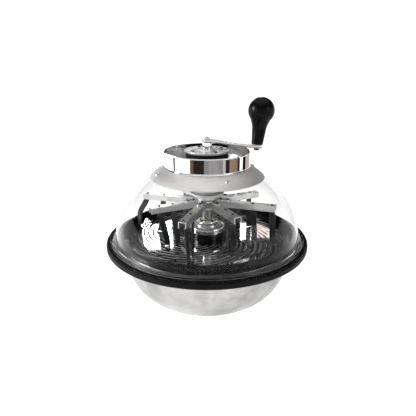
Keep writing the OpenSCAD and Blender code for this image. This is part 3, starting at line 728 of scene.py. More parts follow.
@dataclass(frozen=True)
class ClearPlastic(Finish):
    """Clear moulded plastic that lets lamps through, with hairline scratches and a slight grey."""

    tone: Triple
    bending: float
    shadow: Triple = (0.93, 0.94, 0.94)

    def surface(self, g: Graph, where: bpy.types.NodeSocket) -> bpy.types.NodeSocket:
        """Adds the scratches, and a plain clear film for the light of lamps.

        Args:
            g: The material's node tree.
            where: Object coordinates.

        Returns:
            The shader's result.
        """
        hair = g.hairs(where, (35.0, 35.0, 700.0), (0.6, 0.3, 0.9))
        cloud = g.noise(where, 18.0, 3.0, 0.6)
        scratch = g.spread(hair, 0.0, 0.02, 0.72, 0.85)
        rough = g.math("MULTIPLY", scratch, g.spread(cloud, 0.0, 1.0, 0.55, 0.7))
        grey = g.spread(cloud, 0.0, 0.5, 0.4, 0.8)
        base = g.blend(grey, colour(self.tone), colour(self.tone, 0.985))
        glass = g.shader(
            Base_Color=base, Roughness=rough, IOR=self.bending, Transmission_Weight=1.0
        )
        path = g.node("ShaderNodeLightPath").outputs
        film = g.node("ShaderNodeBsdfTransparent", Color=colour(self.shadow)).outputs[0]
        mix = g.node("ShaderNodeMixShader")
        passes = g.math("MAXIMUM", path["Is Shadow Ray"], path["Is Diffuse Ray"])
        for key, value in enumerate((passes, glass, film)):
            g.feed(mix, key, value)
        return mix.outputs[0]


@dataclass(frozen=True)
class StudioFloor(Finish):
    """Pale floor, evenly lit from under its surface, that still takes a soft shadow."""

    glow: float

    def surface(self, g: Graph, where: bpy.types.NodeSocket) -> bpy.types.NodeSocket:
        """Adds one even shader and returns its result."""
        return g.shader(
            Base_Color=colour((0.5, 0.5, 0.5)), Roughness=1.0, Specular_IOR_Level=0.0,
            Emission_Color=colour((1.0, 1.0, 1.0)), Emission_Strength=self.glow,
        )


@dataclass(frozen=True)
class Card(Finish):
    """A studio card of one even shade, slightly clouded."""

    shade: Triple

    def surface(self, g: Graph, where: bpy.types.NodeSocket) -> bpy.types.NodeSocket:
        """Adds the clouded glow and returns its result."""
        cloud = g.spread(g.noise(where, 6.0, 2.0), 0.0, 1.0)
        shade = g.blend(cloud, colour(self.shade, 0.8), colour(self.shade, 1.2))
        return g.node("ShaderNodeEmission", Color=shade, Strength=1.0).outputs[0]


# ---------------------------------------------------------------------------
# Pieces and where they ride
# ---------------------------------------------------------------------------


class Body(Enum):
    """The moving bodies of the machine."""

    BOWL = "bowl"
    PAN = "pan"
    CUTTER = "cutter"
    DOME = "dome"
    ROTOR = "rotor"
    KNOB = "knob"


@dataclass(frozen=True)
class Reach:
    """How far a CAD node reaches: its largest radius and its two heights, in millimetres."""

    radius: float
    low: float
    high: float

    @classmethod
    def of(cls, node: str) -> "Reach":
        """Reads the reach of a CAD node that lies around the Z axis."""
        low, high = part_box(node)
        return cls(max(high.x, -low.x) / MM, low.z / MM, high.z / MM)


def add_piece(
    name: str, mesh: bpy.types.Mesh, body: Body, finish: bpy.types.Material, node: str
) -> None:
    """Puts a finished mesh on its body in place of its CAD node.

    Args:
        name: Name of the piece.
        mesh: Its mesh, in place.
        body: The body that it rides on.
        finish: Its material.
        node: The CAD node that it stands for.
    """
    mesh.materials.clear()
    mesh.materials.append(finish)
    piece = as_object(name, mesh)
    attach(piece, body.value)
    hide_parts(node)
    LOG.info("%s: %d faces on %s", name, len(mesh.polygons), body.value)


def add_turned(
    name: str, outline: Profile, segments: int, body: Body, finish: bpy.types.Material, node: str,
    sharp: float = 30.0,
) -> None:
    """Adds a piece that is turned from an outline."""
    add_piece(name, turned(name, outline, segments, sharp), body, finish, node)


def add_eased(
    name: str, node: str, width: float, body: Body, finish: bpy.types.Material, segments: int = 2
) -> None:
    """Adds a piece that is its CAD node with broken edges."""
    add_piece(name, eased_copy(node, width, segments), body, finish, node)


def dress_nodes(finish: bpy.types.Material, *nodes: str) -> None:
    """Gives CAD nodes that stay shown their finish.

    Args:
        finish: The material.
        *nodes: The nodes' names.
    """
    for node in nodes:
        slots = bpy.data.objects[node].material_slots
        if not slots:
            bpy.data.objects[node].data.materials.append(finish)
        for slot in slots:
            slot.material = finish
        LOG.info("%s: dressed", node)


def made(finish: Finish) -> bpy.types.Material:
    """A dataclass field that becomes the finish's material when the class is built."""
    return field(default_factory=finish.material)


@dataclass
class Finishes:
    """Every finish of the machine, built once."""

    bowl: bpy.types.Material = made(
        SpunSteel("spun_bowl_steel", (0.52, 0.515, 0.505), dark=0.66, rough=0.36, blotch=1.0))
    edging: bpy.types.Material = made(
        Rubber("edging_rubber", (0.006, 0.006, 0.0062), dust=(0.02, 0.02, 0.02),
               dusty=0.15, rough=0.4, shine=0.08))
    # The plate's slot bevels carry a painted highlight.
    plate: bpy.types.Material = made(
        Polished("plate_polish", (0.34, 0.34, 0.345), rough=0.03, wave=0.000012, wipe=0.03,
                 wave_scale=7.0, edge_highlight=True))
    wall: bpy.types.Material = made(
        Polished("wall_polish", (0.022, 0.022, 0.022), rough=0.22, wave=0.0002, wipe=0.12,
                 wave_scale=28.0))
    paint: bpy.types.Material = made(
        Moulded("housing_paint", (0.01, 0.01, 0.011), worn=(0.03, 0.03, 0.03), rough=0.22,
                grain=0.00003, grain_scale=600.0, shine=0.4))
    chrome: bpy.types.Material = made(
        Polished("bright_chrome", (0.88, 0.88, 0.885), rough=0.02, wave=0.00003, wipe=0.04,
                 wave_scale=12.0))
    skirt: bpy.types.Material = made(
        SpunSteel("spun_skirt_steel", (0.7, 0.69, 0.68), dark=0.8, rough=0.52, blotch=0.8))
    clear: bpy.types.Material = made(
        ClearPlastic("clear_plastic", (0.91, 0.912, 0.912), bending=1.2))
    flap: bpy.types.Material = made(
        Rubber("flap_rubber", (0.018, 0.018, 0.0185), dust=(0.09, 0.09, 0.09),
               dusty=0.5, rough=0.4, shine=0.5))
    knob: bpy.types.Material = made(
        Moulded("knob_plastic", (0.002, 0.002, 0.0022), worn=(0.005, 0.005, 0.0055), rough=0.28,
                shine=0.1))
    bronze: bpy.types.Material = made(
        Machined("sintered_bronze", (0.6, 0.42, 0.22), stain=(0.32, 0.2, 0.1), rough=0.4))
    gear: bpy.types.Material = made(
        Machined("cut_gear_steel", (0.5, 0.49, 0.48), stain=(0.3, 0.28, 0.26), rough=0.28))
    blade: bpy.types.Material = made(
        Drawn("ground_blade_steel", (0.7, 0.7, 0.71), angle=20.0, rough=0.22))
    screw: bpy.types.Material = made(
        Machined("plated_screw", (0.72, 0.72, 0.72), stain=(0.5, 0.49, 0.46), rough=0.2,
                 grain=900.0))
    dark_screw: bpy.types.Material = made(
        Machined("blacked_screw", (0.09, 0.09, 0.095), stain=(0.04, 0.04, 0.04), rough=0.3,
                 grain=900.0))
    cap: bpy.types.Material = made(
        Polished("cap_polish", (0.93, 0.93, 0.925), rough=0.2, wave=0.00003, wipe=0.08,
                 wave_scale=12.0))
    lid: bpy.types.Material = made(
        SpunSteel("faced_lid", (0.86, 0.86, 0.855), dark=0.88, rough=0.34, ring_step=0.0005,
                  blotch=0.4))
    hub: bpy.types.Material = made(
        SpunSteel("hub_aluminium", (0.68, 0.68, 0.68), dark=0.8, rough=0.26, ring_step=0.0006,
                  blotch=0.3))
    crank: bpy.types.Material = made(
        Polished("crank_polish", (0.6, 0.6, 0.6), rough=0.14, wave=0.00003, wipe=0.1))


# ---------------------------------------------------------------------------
# Fasteners, placed by a node tree
# ---------------------------------------------------------------------------


class RingTree:
    """A Geometry Nodes tree that sets one part around the shaft several times."""

    def __init__(self) -> None:
        """Builds the tree with its named inputs."""
        self.tree = bpy.data.node_groups.new("ring_of_parts", "GeometryNodeTree")
        face = self.tree.interface
        for name, kind in (
            ("Geometry", "Geometry"), ("Part", "Object"), ("Count", "Int"), ("Ring", "Float"),
            ("Height", "Float"), ("Turn", "Float"), ("Tilt", "Float"), ("Spin", "Float"),
            ("Finish", "Material"),
        ):
            face.new_socket(name, in_out="INPUT", socket_type="NodeSocket" + kind)
        face.new_socket("Geometry", in_out="OUTPUT", socket_type="NodeSocketGeometry")
        g = Graph(self.tree)
        given = g.node("NodeGroupInput").outputs
        points = g.node("GeometryNodeMeshLine", Count=given["Count"]).outputs[0]
        index = g.node("GeometryNodeInputIndex").outputs[0]
        around = g.math(
            "MULTIPLY_ADD", g.math("DIVIDE", index, given["Count"]), 2 * math.pi, given["Turn"]
        )
        offset = g.node("ShaderNodeCombineXYZ", X=given["Ring"], Z=given["Height"]).outputs[0]
        swing = g.node(
            "ShaderNodeVectorRotate", {"rotation_type": "Z_AXIS"}, Vector=offset, Angle=around
        )
        placed = g.node("GeometryNodeSetPosition", Geometry=points, Position=swing.outputs[0])
        part = g.node("GeometryNodeObjectInfo", Object=given["Part"])
        lean = g.node("ShaderNodeCombineXYZ", Y=given["Tilt"], Z=around)
        copies = g.node(
            "GeometryNodeInstanceOnPoints", Points=placed.outputs[0],
            Instance=part.outputs["Geometry"], Rotation=lean.outputs[0],
        )
        own = g.node("ShaderNodeCombineXYZ", Z=given["Spin"])
        spun = g.node(
            "GeometryNodeRotateInstances", Instances=copies.outputs[0], Rotation=own.outputs[0]
        )
        real = g.node("GeometryNodeRealizeInstances", Geometry=spun.outputs[0])
        dressed = g.node(
            "GeometryNodeSetMaterial", Geometry=real.outputs[0], Material=given["Finish"]
        )
        g.end("NodeGroupOutput", 0, dressed.outputs[0])

    def mesh(
        self, part: bpy.types.Mesh, finish: bpy.types.Material, count: int, ring: float,
        height: float, turn: float = 0.0, tilt: float = 0.0, spin: float = 0.0,
    ) -> bpy.types.Mesh:
        """Sets copies of a part around the shaft.

        Args:
            part: Mesh of one part, standing on its seat at the origin.
            finish: Its material.
            count: Number of copies.
            ring: Radius that they stand at, in millimetres.
            height: Height of their seats, in millimetres.
            turn: Direction of the first copy, in radians.
            tilt: Outward lean of each copy, in radians.
            spin: Turn of each copy about its own axis, in radians.

        Returns:
            One plain mesh with all the copies.
        """
        source = as_object("part_source", part)
        carrier = as_object("part_ring", bpy.data.meshes.new("part_ring"))
        modifier = carrier.modifiers.new("ring", "NODES")
        modifier.node_group = self.tree
        values = {
            "Part": source, "Count": count, "Ring": ring * MM, "Height": height * MM,
            "Turn": turn, "Tilt": tilt, "Spin": spin, "Finish": finish,
        }
        for item in self.tree.interface.items_tree:
            if item.in_out == "INPUT" and item.name in values:
                modifier[item.identifier] = values[item.name]
        graph = bpy.context.evaluated_depsgraph_get()
        out = bpy.data.meshes.new_from_object(carrier.evaluated_get(graph))
        carrier.modifiers.remove(modifier)
        bpy.data.objects.remove(carrier)
        bpy.data.objects.remove(source)
        return out


class Head(Enum):
    """Shapes of a screw's head."""

    BUTTON = "button"
    CHEESE = "cheese"


@dataclass(frozen=True)
class Screw:
    """A screw with a socket in its head, its seat at z = 0 and its shank pointing down."""

    shank_r: float
    head_r: float
    head_h: float
    length: float
    head: Head = Head.BUTTON

    def mesh(self) -> bpy.types.Mesh:
        """Builds the screw.

        Returns:
            Its mesh in metres.
        """
        key = self.head_r * 0.4
        tall = self.head_h
        rings = [
            (-self.length, self.shank_r * 0.8, 0), (-self.length + 0.4, self.shank_r, 0),
            (-0.01, self.shank_r, 0), (0.0, self.head_r * 0.96, 0), (0.12 * tall, self.head_r, 0),
        ]
        if self.head is Head.BUTTON:
            for angle in (14, 26, 38, 50):
                a = math.radians(angle)
                rings.append((tall * math.sin(a), self.head_r * math.cos(a), 0))
            rings.append((tall * 0.94, key * 1.3, 0))
        else:
            rings += [(tall * 0.85, self.head_r, 0), (tall, self.head_r * 0.88, 0)]
            rings.append((tall, key * 1.25, 0))
        return stacked("screw", rings + [(tall * 0.92, key, 1), (tall * 0.4, key * 0.96, 1)])


@dataclass(frozen=True)
class Nut:
    """A hexagon nut with its upper face at z = 0 and the end of the thread below it."""

    flats: float
    height: float
    end_r: float

    def mesh(self) -> bpy.types.Mesh:
        """Builds the nut.

        Returns:
            Its mesh in metres.
        """
        half, tall = self.flats / 2, self.height
        return stacked("nut", [
            (-tall - 1.2, self.end_r * 0.8, 0), (-tall - 0.9, self.end_r, 0),
            (-tall, self.end_r, 0), (-tall, half * 0.97, 0),
            (-tall * 0.9, half, 1), (-tall * 0.1, half, 1), (0.0, half * 0.97, 0),
        ])


# ---------------------------------------------------------------------------
# Bowl
# ---------------------------------------------------------------------------


@dataclass
class BowlSet:
    """The spun bowl and the rubber channel pressed on its flange."""

    finishes: Finishes
    mouth_r: float = 173.0
    foot_r: float = 46.0
    wall: float = 1.5
    neck: float = 8.6
    squareness: float = 2.475
    channel_w: float = 12.0
    foot_round: float = 3.2
    top_round: float = 1.2
    segments: int = 224

    def curve(self, radius: float, low: float, rim: float, steps: int = 56) -> Profile:
        """The bowl's section from its foot out to its neck.

        Args:
            radius: Radius at the neck.
            low: Height of the foot.
            rim: Height of the rim.
            steps: Number of chords.

        Returns:
            The points, from the foot out.
        """
        out = []
        tall = rim - self.neck
        power = 2 / self.squareness
        for i in range(steps + 1):
            t = math.radians(90 - 90 * i / steps)
            out.append((
                self.foot_r + (radius - self.foot_r) * max(math.cos(t), 0.0) ** power,
                tall - (tall - low) * max(math.sin(t), 0.0) ** power,
            ))
        return out

    def bowl_outline(self) -> Profile:
        """Section of the bowl's sheet.

        Returns:
            The closed outline.
        """
        reach = Reach.of("bowl")
        rim, under = reach.high, reach.high - self.wall
        inner = self.mouth_r - self.wall
        return (
            [(0.0, 0.0)]
            + self.curve(self.mouth_r, 0.0, rim)
            + [(self.mouth_r, under), (reach.radius, under), (reach.radius, rim)]
            + [(inner + 2.0, rim), (inner, rim - 1.2)]
            + self.curve(inner, self.wall, rim)[::-1]
            + [(0.0, self.wall)]
        )

    def edging_outline(self) -> Profile:
        """Section of the rubber channel around the flange.

        Returns:
            The closed outline.
        """
        reach, rim = Reach.of("rim_edging"), Reach.of("bowl")
        r, low, top = reach.radius, reach.low, reach.high
        inner, under = r - self.channel_w, rim.high - self.wall
        foot, head = self.foot_round, self.top_round
        return (
            [(inner, low + 1), (inner + 1, low)]
            + arc((r - foot, low + foot), foot, foot, -90, 0, 8)
            + [(r, top - 4.6), (r - 0.35, top - 4.2), (r, top - 3.8)]
            + arc((r - head, top - head), head, head, 0, 90, 6)
            + [(inner + 0.6, top), (inner, top - 0.6), (inner, rim.high)]
            + [(rim.radius, rim.high), (rim.radius, under), (inner, under)]
        )

    def build(self) -> None:
        """Makes and dresses the bowl and its edging."""
        for name, outline, finish, node in (
            ("bowl_spun", self.bowl_outline(), self.finishes.bowl, "bowl"),
            ("rim_channel", self.edging_outline(), self.finishes.edging, "rim_edging"),
        ):
            add_turned(name, outline, self.segments, Body.BOWL, finish, node)


# ---------------------------------------------------------------------------
# Pan and gearbox
# ---------------------------------------------------------------------------


@dataclass
class PanSet:
    """The slotted pan with its gearbox."""

    finishes: Finishes
    tree: RingTree
    foot_w: float = 11.0
    foot_round: float = 3.0
    wall: float = 1.5
    bead: float = 1.4
    bush_r: float = 12.0
    shoulder: float = 6.0
    cast_t: float = 3.0
    base_hole_r: float = 8.0
    base_wall: float = 2.5
    base_floor: float = 3.5

    def wall_outline(self) -> Profile:
        """Section of the pan's upturned wall and foot ring.

        Returns:
            The closed outline.
        """
        reach = Reach.of("pan_wall")
        outer = reach.radius - self.bead
        inner, foot = outer - self.wall, outer - self.foot_w
        low, top, bend_r = reach.low, reach.high, self.foot_round
        bend_z = low + self.wall + bend_r
        return (
            [(foot, low), (outer, low), (outer, top - 2 * self.bead)]
            + arc((outer, top - self.bead), self.bead, self.bead, -90, 90, 12)
            + [(inner, top - 0.2), (inner, bend_z)]
            + arc((inner - bend_r, bend_z), bend_r, bend_r, 0, -90, 8)
            + [(foot + 0.8, low + self.wall), (foot, low + 0.9)]
        )

    def cap_outline(self) -> Profile:
        """Section of the gearbox cap.

        Returns:
            The closed outline.
        """
        reach = Reach.of("gearbox_cap")
        inner = Reach.of("gearbox_base").radius - 1
        r, low, top, s = reach.radius, reach.low, reach.high, self.shoulder
        under = top - self.cast_t
        return eased(
            [(inner, low), (r, low)]
            + arc((r - s, top - s), s, s, 0, 90, 14)
            + [(self.bush_r, top), (self.bush_r, under), (r - self.cast_t - s, under)]
            + [(inner, top - s)],
            0.5,
        )

    def collar_outline(self) -> Profile:
        """Section of the collar on the cap.

        Returns:
            The closed outline.
        """
        reach = Reach.of("gearbox_collar")
        foot, low, top = reach.radius, reach.low, reach.high
        neck = foot - 6.0
        return eased(
            [(self.bush_r, low), (foot, low), (foot, low + 2)]
            + bend((foot - 0.4, low + 2.4), (neck, low + 3.5), (neck, top - 1), 12)
            + [(neck, top), (self.bush_r, top)],
            0.6,
        )

    def base_outline(self) -> Profile:
        """Section of the gearbox base.

        Returns:
            The closed outline.
        """
        reach = Reach.of("gearbox_base")
        r, low, top, hole = reach.radius, reach.low, reach.high, self.base_hole_r
        inner, floor = r - self.base_wall, low + self.base_floor
        return eased(
            [(hole, low), (r, low), (r, top), (inner, top), (inner, floor), (hole, floor)], 0.5
        )

    def collar_screws(self) -> None:
        """Makes the collar's four screws, halfway between the X and Y axes."""
        dark = self.finishes.dark_screw
        collar, screws = Reach.of("gearbox_collar"), Reach.of("collar_screws")
        screw = Screw(
            shank_r=0.9, head_r=2.0, head_h=screws.high - collar.high,
            length=collar.high - screws.low, head=Head.CHEESE,
        )
        corner = math.radians(45)
        ring = (screws.radius - screw.head_r) / math.sin(corner)
        mesh = self.tree.mesh(screw.mesh(), dark, 4, ring, collar.high, corner, spin=0.3)
        add_piece("collar_screw_set", mesh, Body.PAN, dark, "collar_screws")

    def build(self) -> None:
        """Makes and dresses the pan, the gearbox and what turns in it."""
        f = self.finishes
        add_eased("pan_plate", "slotted_plate", 0.4, Body.PAN, f.plate)
        for name, outline, segments, finish, node in (
            ("pan_upturn", self.wall_outline(), 224, f.wall, "pan_wall"),
            ("gear_cap", self.cap_outline(), 128, f.cap, "gearbox_cap"),
            ("gear_collar", self.collar_outline(), 128, f.cap, "gearbox_collar"),
            ("gear_base", self.base_outline(), 128, f.paint, "gearbox_base"),
        ):
            add_turned(name, outline, segments, Body.PAN, finish, node)
        self.collar_screws()
        dress_nodes(f.screw, "base_screws")
        dress_nodes(f.bronze, "input_bush", "output_bush")
        dress_nodes(f.gear, "idler_pins", "input_gear", "idler_gear_right", "idler_gear_left")


@dataclass
class CutterSet:
    """The output shaft and the two ground blades under the plate."""

    finishes: Finishes

    def build(self) -> None:
        """Makes and dresses the cutter."""
        f = self.finishes
        for name, node, width, finish in (
            ("ground_upper_blade", "upper_blade", 0.45, f.blade),
            ("ground_lower_blade", "lower_blade", 0.45, f.blade),
            ("output_spindle", "output_shaft", 0.25, f.gear),
            ("turned_blade_hub", "blade_hub", 0.25, f.gear),
            ("turned_blade_washer", "blade_washer", 0.25, f.screw),
            ("turned_blade_nut", "blade_nut", 0.25, f.screw),
        ):
            add_eased(name, node, width, Body.CUTTER, finish, 1)


# ---------------------------------------------------------------------------
# Dome
# ---------------------------------------------------------------------------


@dataclass
class DomeSet:
    """The clear dome with its skirt, ring, bearing housing and clamp."""

    finishes: Finishes
    tree: RingTree
    wall: float = 3.0
    inset: float = 18.6
    sink: float = 0.4
    rise: float = 162.8
    lip_t: float = 3.0
    lip_w: float = 6.5
    step_w: float = 5.6
    step_h: float = 3.2
    hole_r: float = 48.0
    sheet: float = 1.5
    ring_foot: float = 2.2
    barrel_r: float = 43.0
    bore_r: float = 14.0
    bearing_r: float = 20.1
    bearing_t: float = 12.0
    boss_h: float = 2.0
    clamp_t: float = 5.0
    cover_screw: Screw = Screw(shank_r=2.0, head_r=3.8, head_h=2.2, length=11.0)
    cover_ring: float = 33.0
    clamp_end: float = 14.0
    clamp_nut: Nut = Nut(flats=8.0, height=4.0, end_r=2.5)
    skirt_bolt: Screw = Screw(shank_r=2.5, head_r=5.2, head_h=3.4, length=15.0)
    skirt_turn: float = -68.0
    ball_r: float = 3.0
    ball_ring: float = 14.05

    def dome_outline(self) -> Profile:
        """Section of the clear dome: a lip, two steps and most of an ellipse.

        Returns:
            The closed outline.
        """
        reach = Reach.of("dome")
        r = Reach.of("rim_edging").radius - self.inset
        z = reach.low - self.sink
        low, top, lip, wall = reach.low, reach.high, reach.low + self.lip_t, self.wall
        step_top = lip + 2 * self.step_h
        start = step_top + 2.6
        first = reach.radius - self.lip_w
        second = first - self.step_w

        def shell(tall: float, width: float, foot: float, head: float) -> Profile:
            """Part of an ellipse around the dome's middle, from one height to another."""
            ends = (math.degrees(math.asin((height - z) / tall)) for height in (foot, head))
            return arc((0, z), width, tall, *ends, 56)

        return (
            eased(
                [(first - wall, low), (reach.radius, low), (reach.radius, lip), (first, lip)]
                + [(first - 0.6, lip + self.step_h), (second, lip + self.step_h)]
                + [(second - 0.6, step_top)],
                0.8, 4,
            )
            + shell(self.rise, r, start, top)
            + [(self.hole_r, top), (self.hole_r, top - wall)]
            + shell(self.rise - wall, r - wall, top - wall, start - 1)
            + [(second - wall, step_top - 2), (second - wall, low + self.step_h)]
            + [(first - wall, low + self.step_h)]
        )

    def skirt_curve(self) -> tuple[Point, Point, Point]:
        """Control points of the skirt's slope, from its edge up to its floor.

        Returns:
            The edge, the point that pulls the curve, and the floor's edge.
        """
        reach, ring = Reach.of("skirt"), Reach.of("ring")
        edge = (reach.radius, reach.low + self.sheet)
        return edge, (reach.radius - 12.5, reach.high - 7.2), (ring.radius + 0.5, reach.high)

    def skirt_tilt(self) -> float:
        """Tilt of the skirt's middle slope in radians."""
        a, _, c = self.skirt_curve()
        return math.atan2(c[1] - a[1], a[0] - c[0])

    def skirt_outline(self) -> Profile:
        """Section of the spun skirt with its turned-in edge.

        Returns:
            The closed outline.
        """
        reach = Reach.of("skirt")
        slope, tilt = self.skirt_curve(), self.skirt_tilt()
        drop = (self.sheet * math.sin(tilt), self.sheet * math.cos(tilt))
        floor, edge = reach.high - self.sheet, reach.radius - 3
        inner = bend(*[(x - drop[0], y - drop[1]) for x, y in slope], 20)
        inner = [(x, min(y, floor)) for x, y in inner if y > reach.low + self.sheet * 0.6]
        return (
            [(edge, reach.low), (reach.radius - 0.4, reach.low), (reach.radius, reach.low + 0.4)]
            + bend(*slope, 20)
            + [(self.barrel_r, reach.high), (self.barrel_r, floor)]
            + inner[::-1]
            + [(edge, reach.low + 0.9)]
        )

    def ring_outline(self) -> Profile:
        """Section of the ring, with a rolled foot and a beaded top.

        Returns:
            The closed outline.
        """
        reach = Reach.of("ring")
        wide, low, top = reach.radius, reach.low, reach.high
        r = wide - self.ring_foot
        inner = r - self.sheet
        return (
            [(inner, low), (wide - 0.5, low)]
            + arc((wide - 0.7, low + 0.7), 0.7, 0.7, -90, 60, 5)
            + bend((wide - 0.6, low + 1.4), (r + 0.1, low + 1.6), (r, low + 3.4), 6)
            + [(r, top - 2.4)]
            + arc((r - 0.2, top - 1.1), 1.1, 1.1, -60, 90, 10)
            + [(inner + 0.5, top), (inner, top - 0.5)]
        )

    def barrel_outline(self) -> Profile:
        """Section of the bearing housing.

        Returns:
            The closed outline.
        """
        reach = Reach.of("bearing_housing")
        low, top, floor = reach.low, reach.high, Reach.of("skirt").high - self.sheet
        deep, seat = top - 7.0, top - self.bearing_t
        core, shell = self.bearing_r + 6.5, self.barrel_r - 5
        return eased(
            [(self.bore_r, low), (core, low), (core, deep), (shell, deep), (shell, low)]
            + [(reach.radius, low), (reach.radius, floor), (self.barrel_r, floor)]
            + [(self.barrel_r, top), (self.bearing_r, top), (self.bearing_r, seat)]
            + [(self.bore_r, seat)],
            0.5,
        )

    def cover_outline(self) -> Profile:
        """Section of the housing cover with its raised boss.

        Returns:
            The closed outline.
        """
        reach = Reach.of("housing_cover")
        low, top, boss, r = reach.low, reach.high - self.boss_h, reach.high, reach.radius
        return eased(
            [(10.0, low), (r, low), (r, top), (17.0, top), (16.0, boss), (10.0, boss)], 0.8, 4
        )

    def clamp_outline(self) -> Profile:
        """Section of the clamp flange and its bearing tube.

        Returns:
            The closed outline.
        """
        reach = Reach.of("clamp_flange")
        low, top, r = reach.low, reach.high, reach.radius
        under, over = top - self.clamp_t, low + self.clamp_t
        tube = self.bearing_r + 4.5
        foot, seat = tube + 9.0, low + self.bearing_t
        return eased(
            [(self.bore_r, top), (r, top), (r, under), (tube + 3, under), (tube, under - 3)]
            + [(tube, over + 3), (tube + 3, over), (foot, over), (foot, low)]
            + [(self.bearing_r, low), (self.bearing_r, seat), (self.bore_r, seat)],
            0.7,
        )

    def fasteners(self) -> None:
        """Makes the screws, bolts, spacers and nuts of the dome."""
        f = self.finishes
        cover, skirt, clamp = (Reach.of(n) for n in ("housing_cover", "skirt", "clamp_flange"))
        clamp_screw = Screw(
            shank_r=2.5, head_r=4.6, head_h=2.8, length=skirt.high - clamp.high + self.clamp_end
        )
        clamp_ring = (clamp.radius + self.hole_r) / 2
        spot = bend(*self.skirt_curve(), 2)[1]
        for name, part, finish, count, ring, height, turn, tilt, spin, node in (
            ("cover_screw_set", self.cover_screw, f.dark_screw, 4, self.cover_ring,
             cover.high - self.boss_h, 30.0, 0.0, 0.2, "cover_screws"),
            ("clamp_screw_set", clamp_screw, f.screw, 6, clamp_ring,
             skirt.high, 0.0, 0.0, 0.5, "clamp_screws"),
            ("clamp_nut_set", self.clamp_nut, f.screw, 6, clamp_ring,
             clamp.high - self.clamp_t, 0.0, 0.0, 0.2, "clamp_nuts"),
            ("skirt_bolt_set", self.skirt_bolt, f.screw, 4, spot[0],
             spot[1], self.skirt_turn, self.skirt_tilt(), 0.4, "skirt_bolts"),
        ):
            turn = math.radians(turn)
            mesh = self.tree.mesh(part.mesh(), finish, count, ring, height, turn, tilt, spin)
            add_piece(name, mesh, Body.DOME, finish, node)
        dress_nodes(f.edging, "skirt_spacers")
        dress_nodes(f.screw, "skirt_nuts")

    def bearings(self) -> None:
        """Makes the balls and dresses the outer races."""
        f = self.finishes
        races = ("upper_outer_race", "lower_outer_race")
        balls = []
        for race in races:
            ball = bpy.data.meshes.new("ball")
            work = bmesh.new()
            bmesh.ops.create_icosphere(work, subdivisions=3, radius=self.ball_r * MM)
            work.to_mesh(ball)
            work.free()
            settle(ball, 60.0)
            middle = (Reach.of(race).low + Reach.of(race).high) / 2
            balls.append(self.tree.mesh(ball, f.chrome, 9, self.ball_ring, middle))
        add_piece("ball_set", joined("ball_set", balls), Body.DOME, f.chrome, "bearing_balls")
        dress_nodes(f.gear, *races)

    def build(self) -> None:
        """Makes and dresses everything that lifts off with the dome."""
        f = self.finishes
        add_turned("dome_shell", self.dome_outline(), 256, Body.DOME, f.clear, "dome", 35.0)
        for name, outline, segments, finish, node in (
            ("skirt_spun", self.skirt_outline(), 192, f.skirt, "skirt"),
            ("ring_rolled", self.ring_outline(), 224, f.chrome, "ring"),
            ("housing_barrel", self.barrel_outline(), 160, f.paint, "bearing_housing"),
            ("housing_lid", self.cover_outline(), 160, f.lid, "housing_cover"),
            ("clamp_spun", self.clamp_outline(), 128, f.skirt, "clamp_flange"),
        ):
            add_turned(name, outline, segments, Body.DOME, finish, node)
        self.fasteners()
        self.bearings()


# ---------------------------------------------------------------------------
# Rotor
# ---------------------------------------------------------------------------


@dataclass(frozen=True)
class ArmRow:
    """Four alike arms: where the first one points and the radii of their two flap seats."""

    kind: str
    heading: float
    outer: float
    inner: float


LONG = ArmRow("long", 72.0, 135.1, 97.1)
SHORT = ArmRow("short", 27.0, 105.5, 76.5)


@dataclass(frozen=True)
class Hang:
    """How one rubber flap hangs.

    Its lower end drifts outward by lean within the share fall of its length, sways along the
    sweep and twists by some degrees.
    """

    lean: float
    sway: float
    twist: float
    fall: float = 1.0


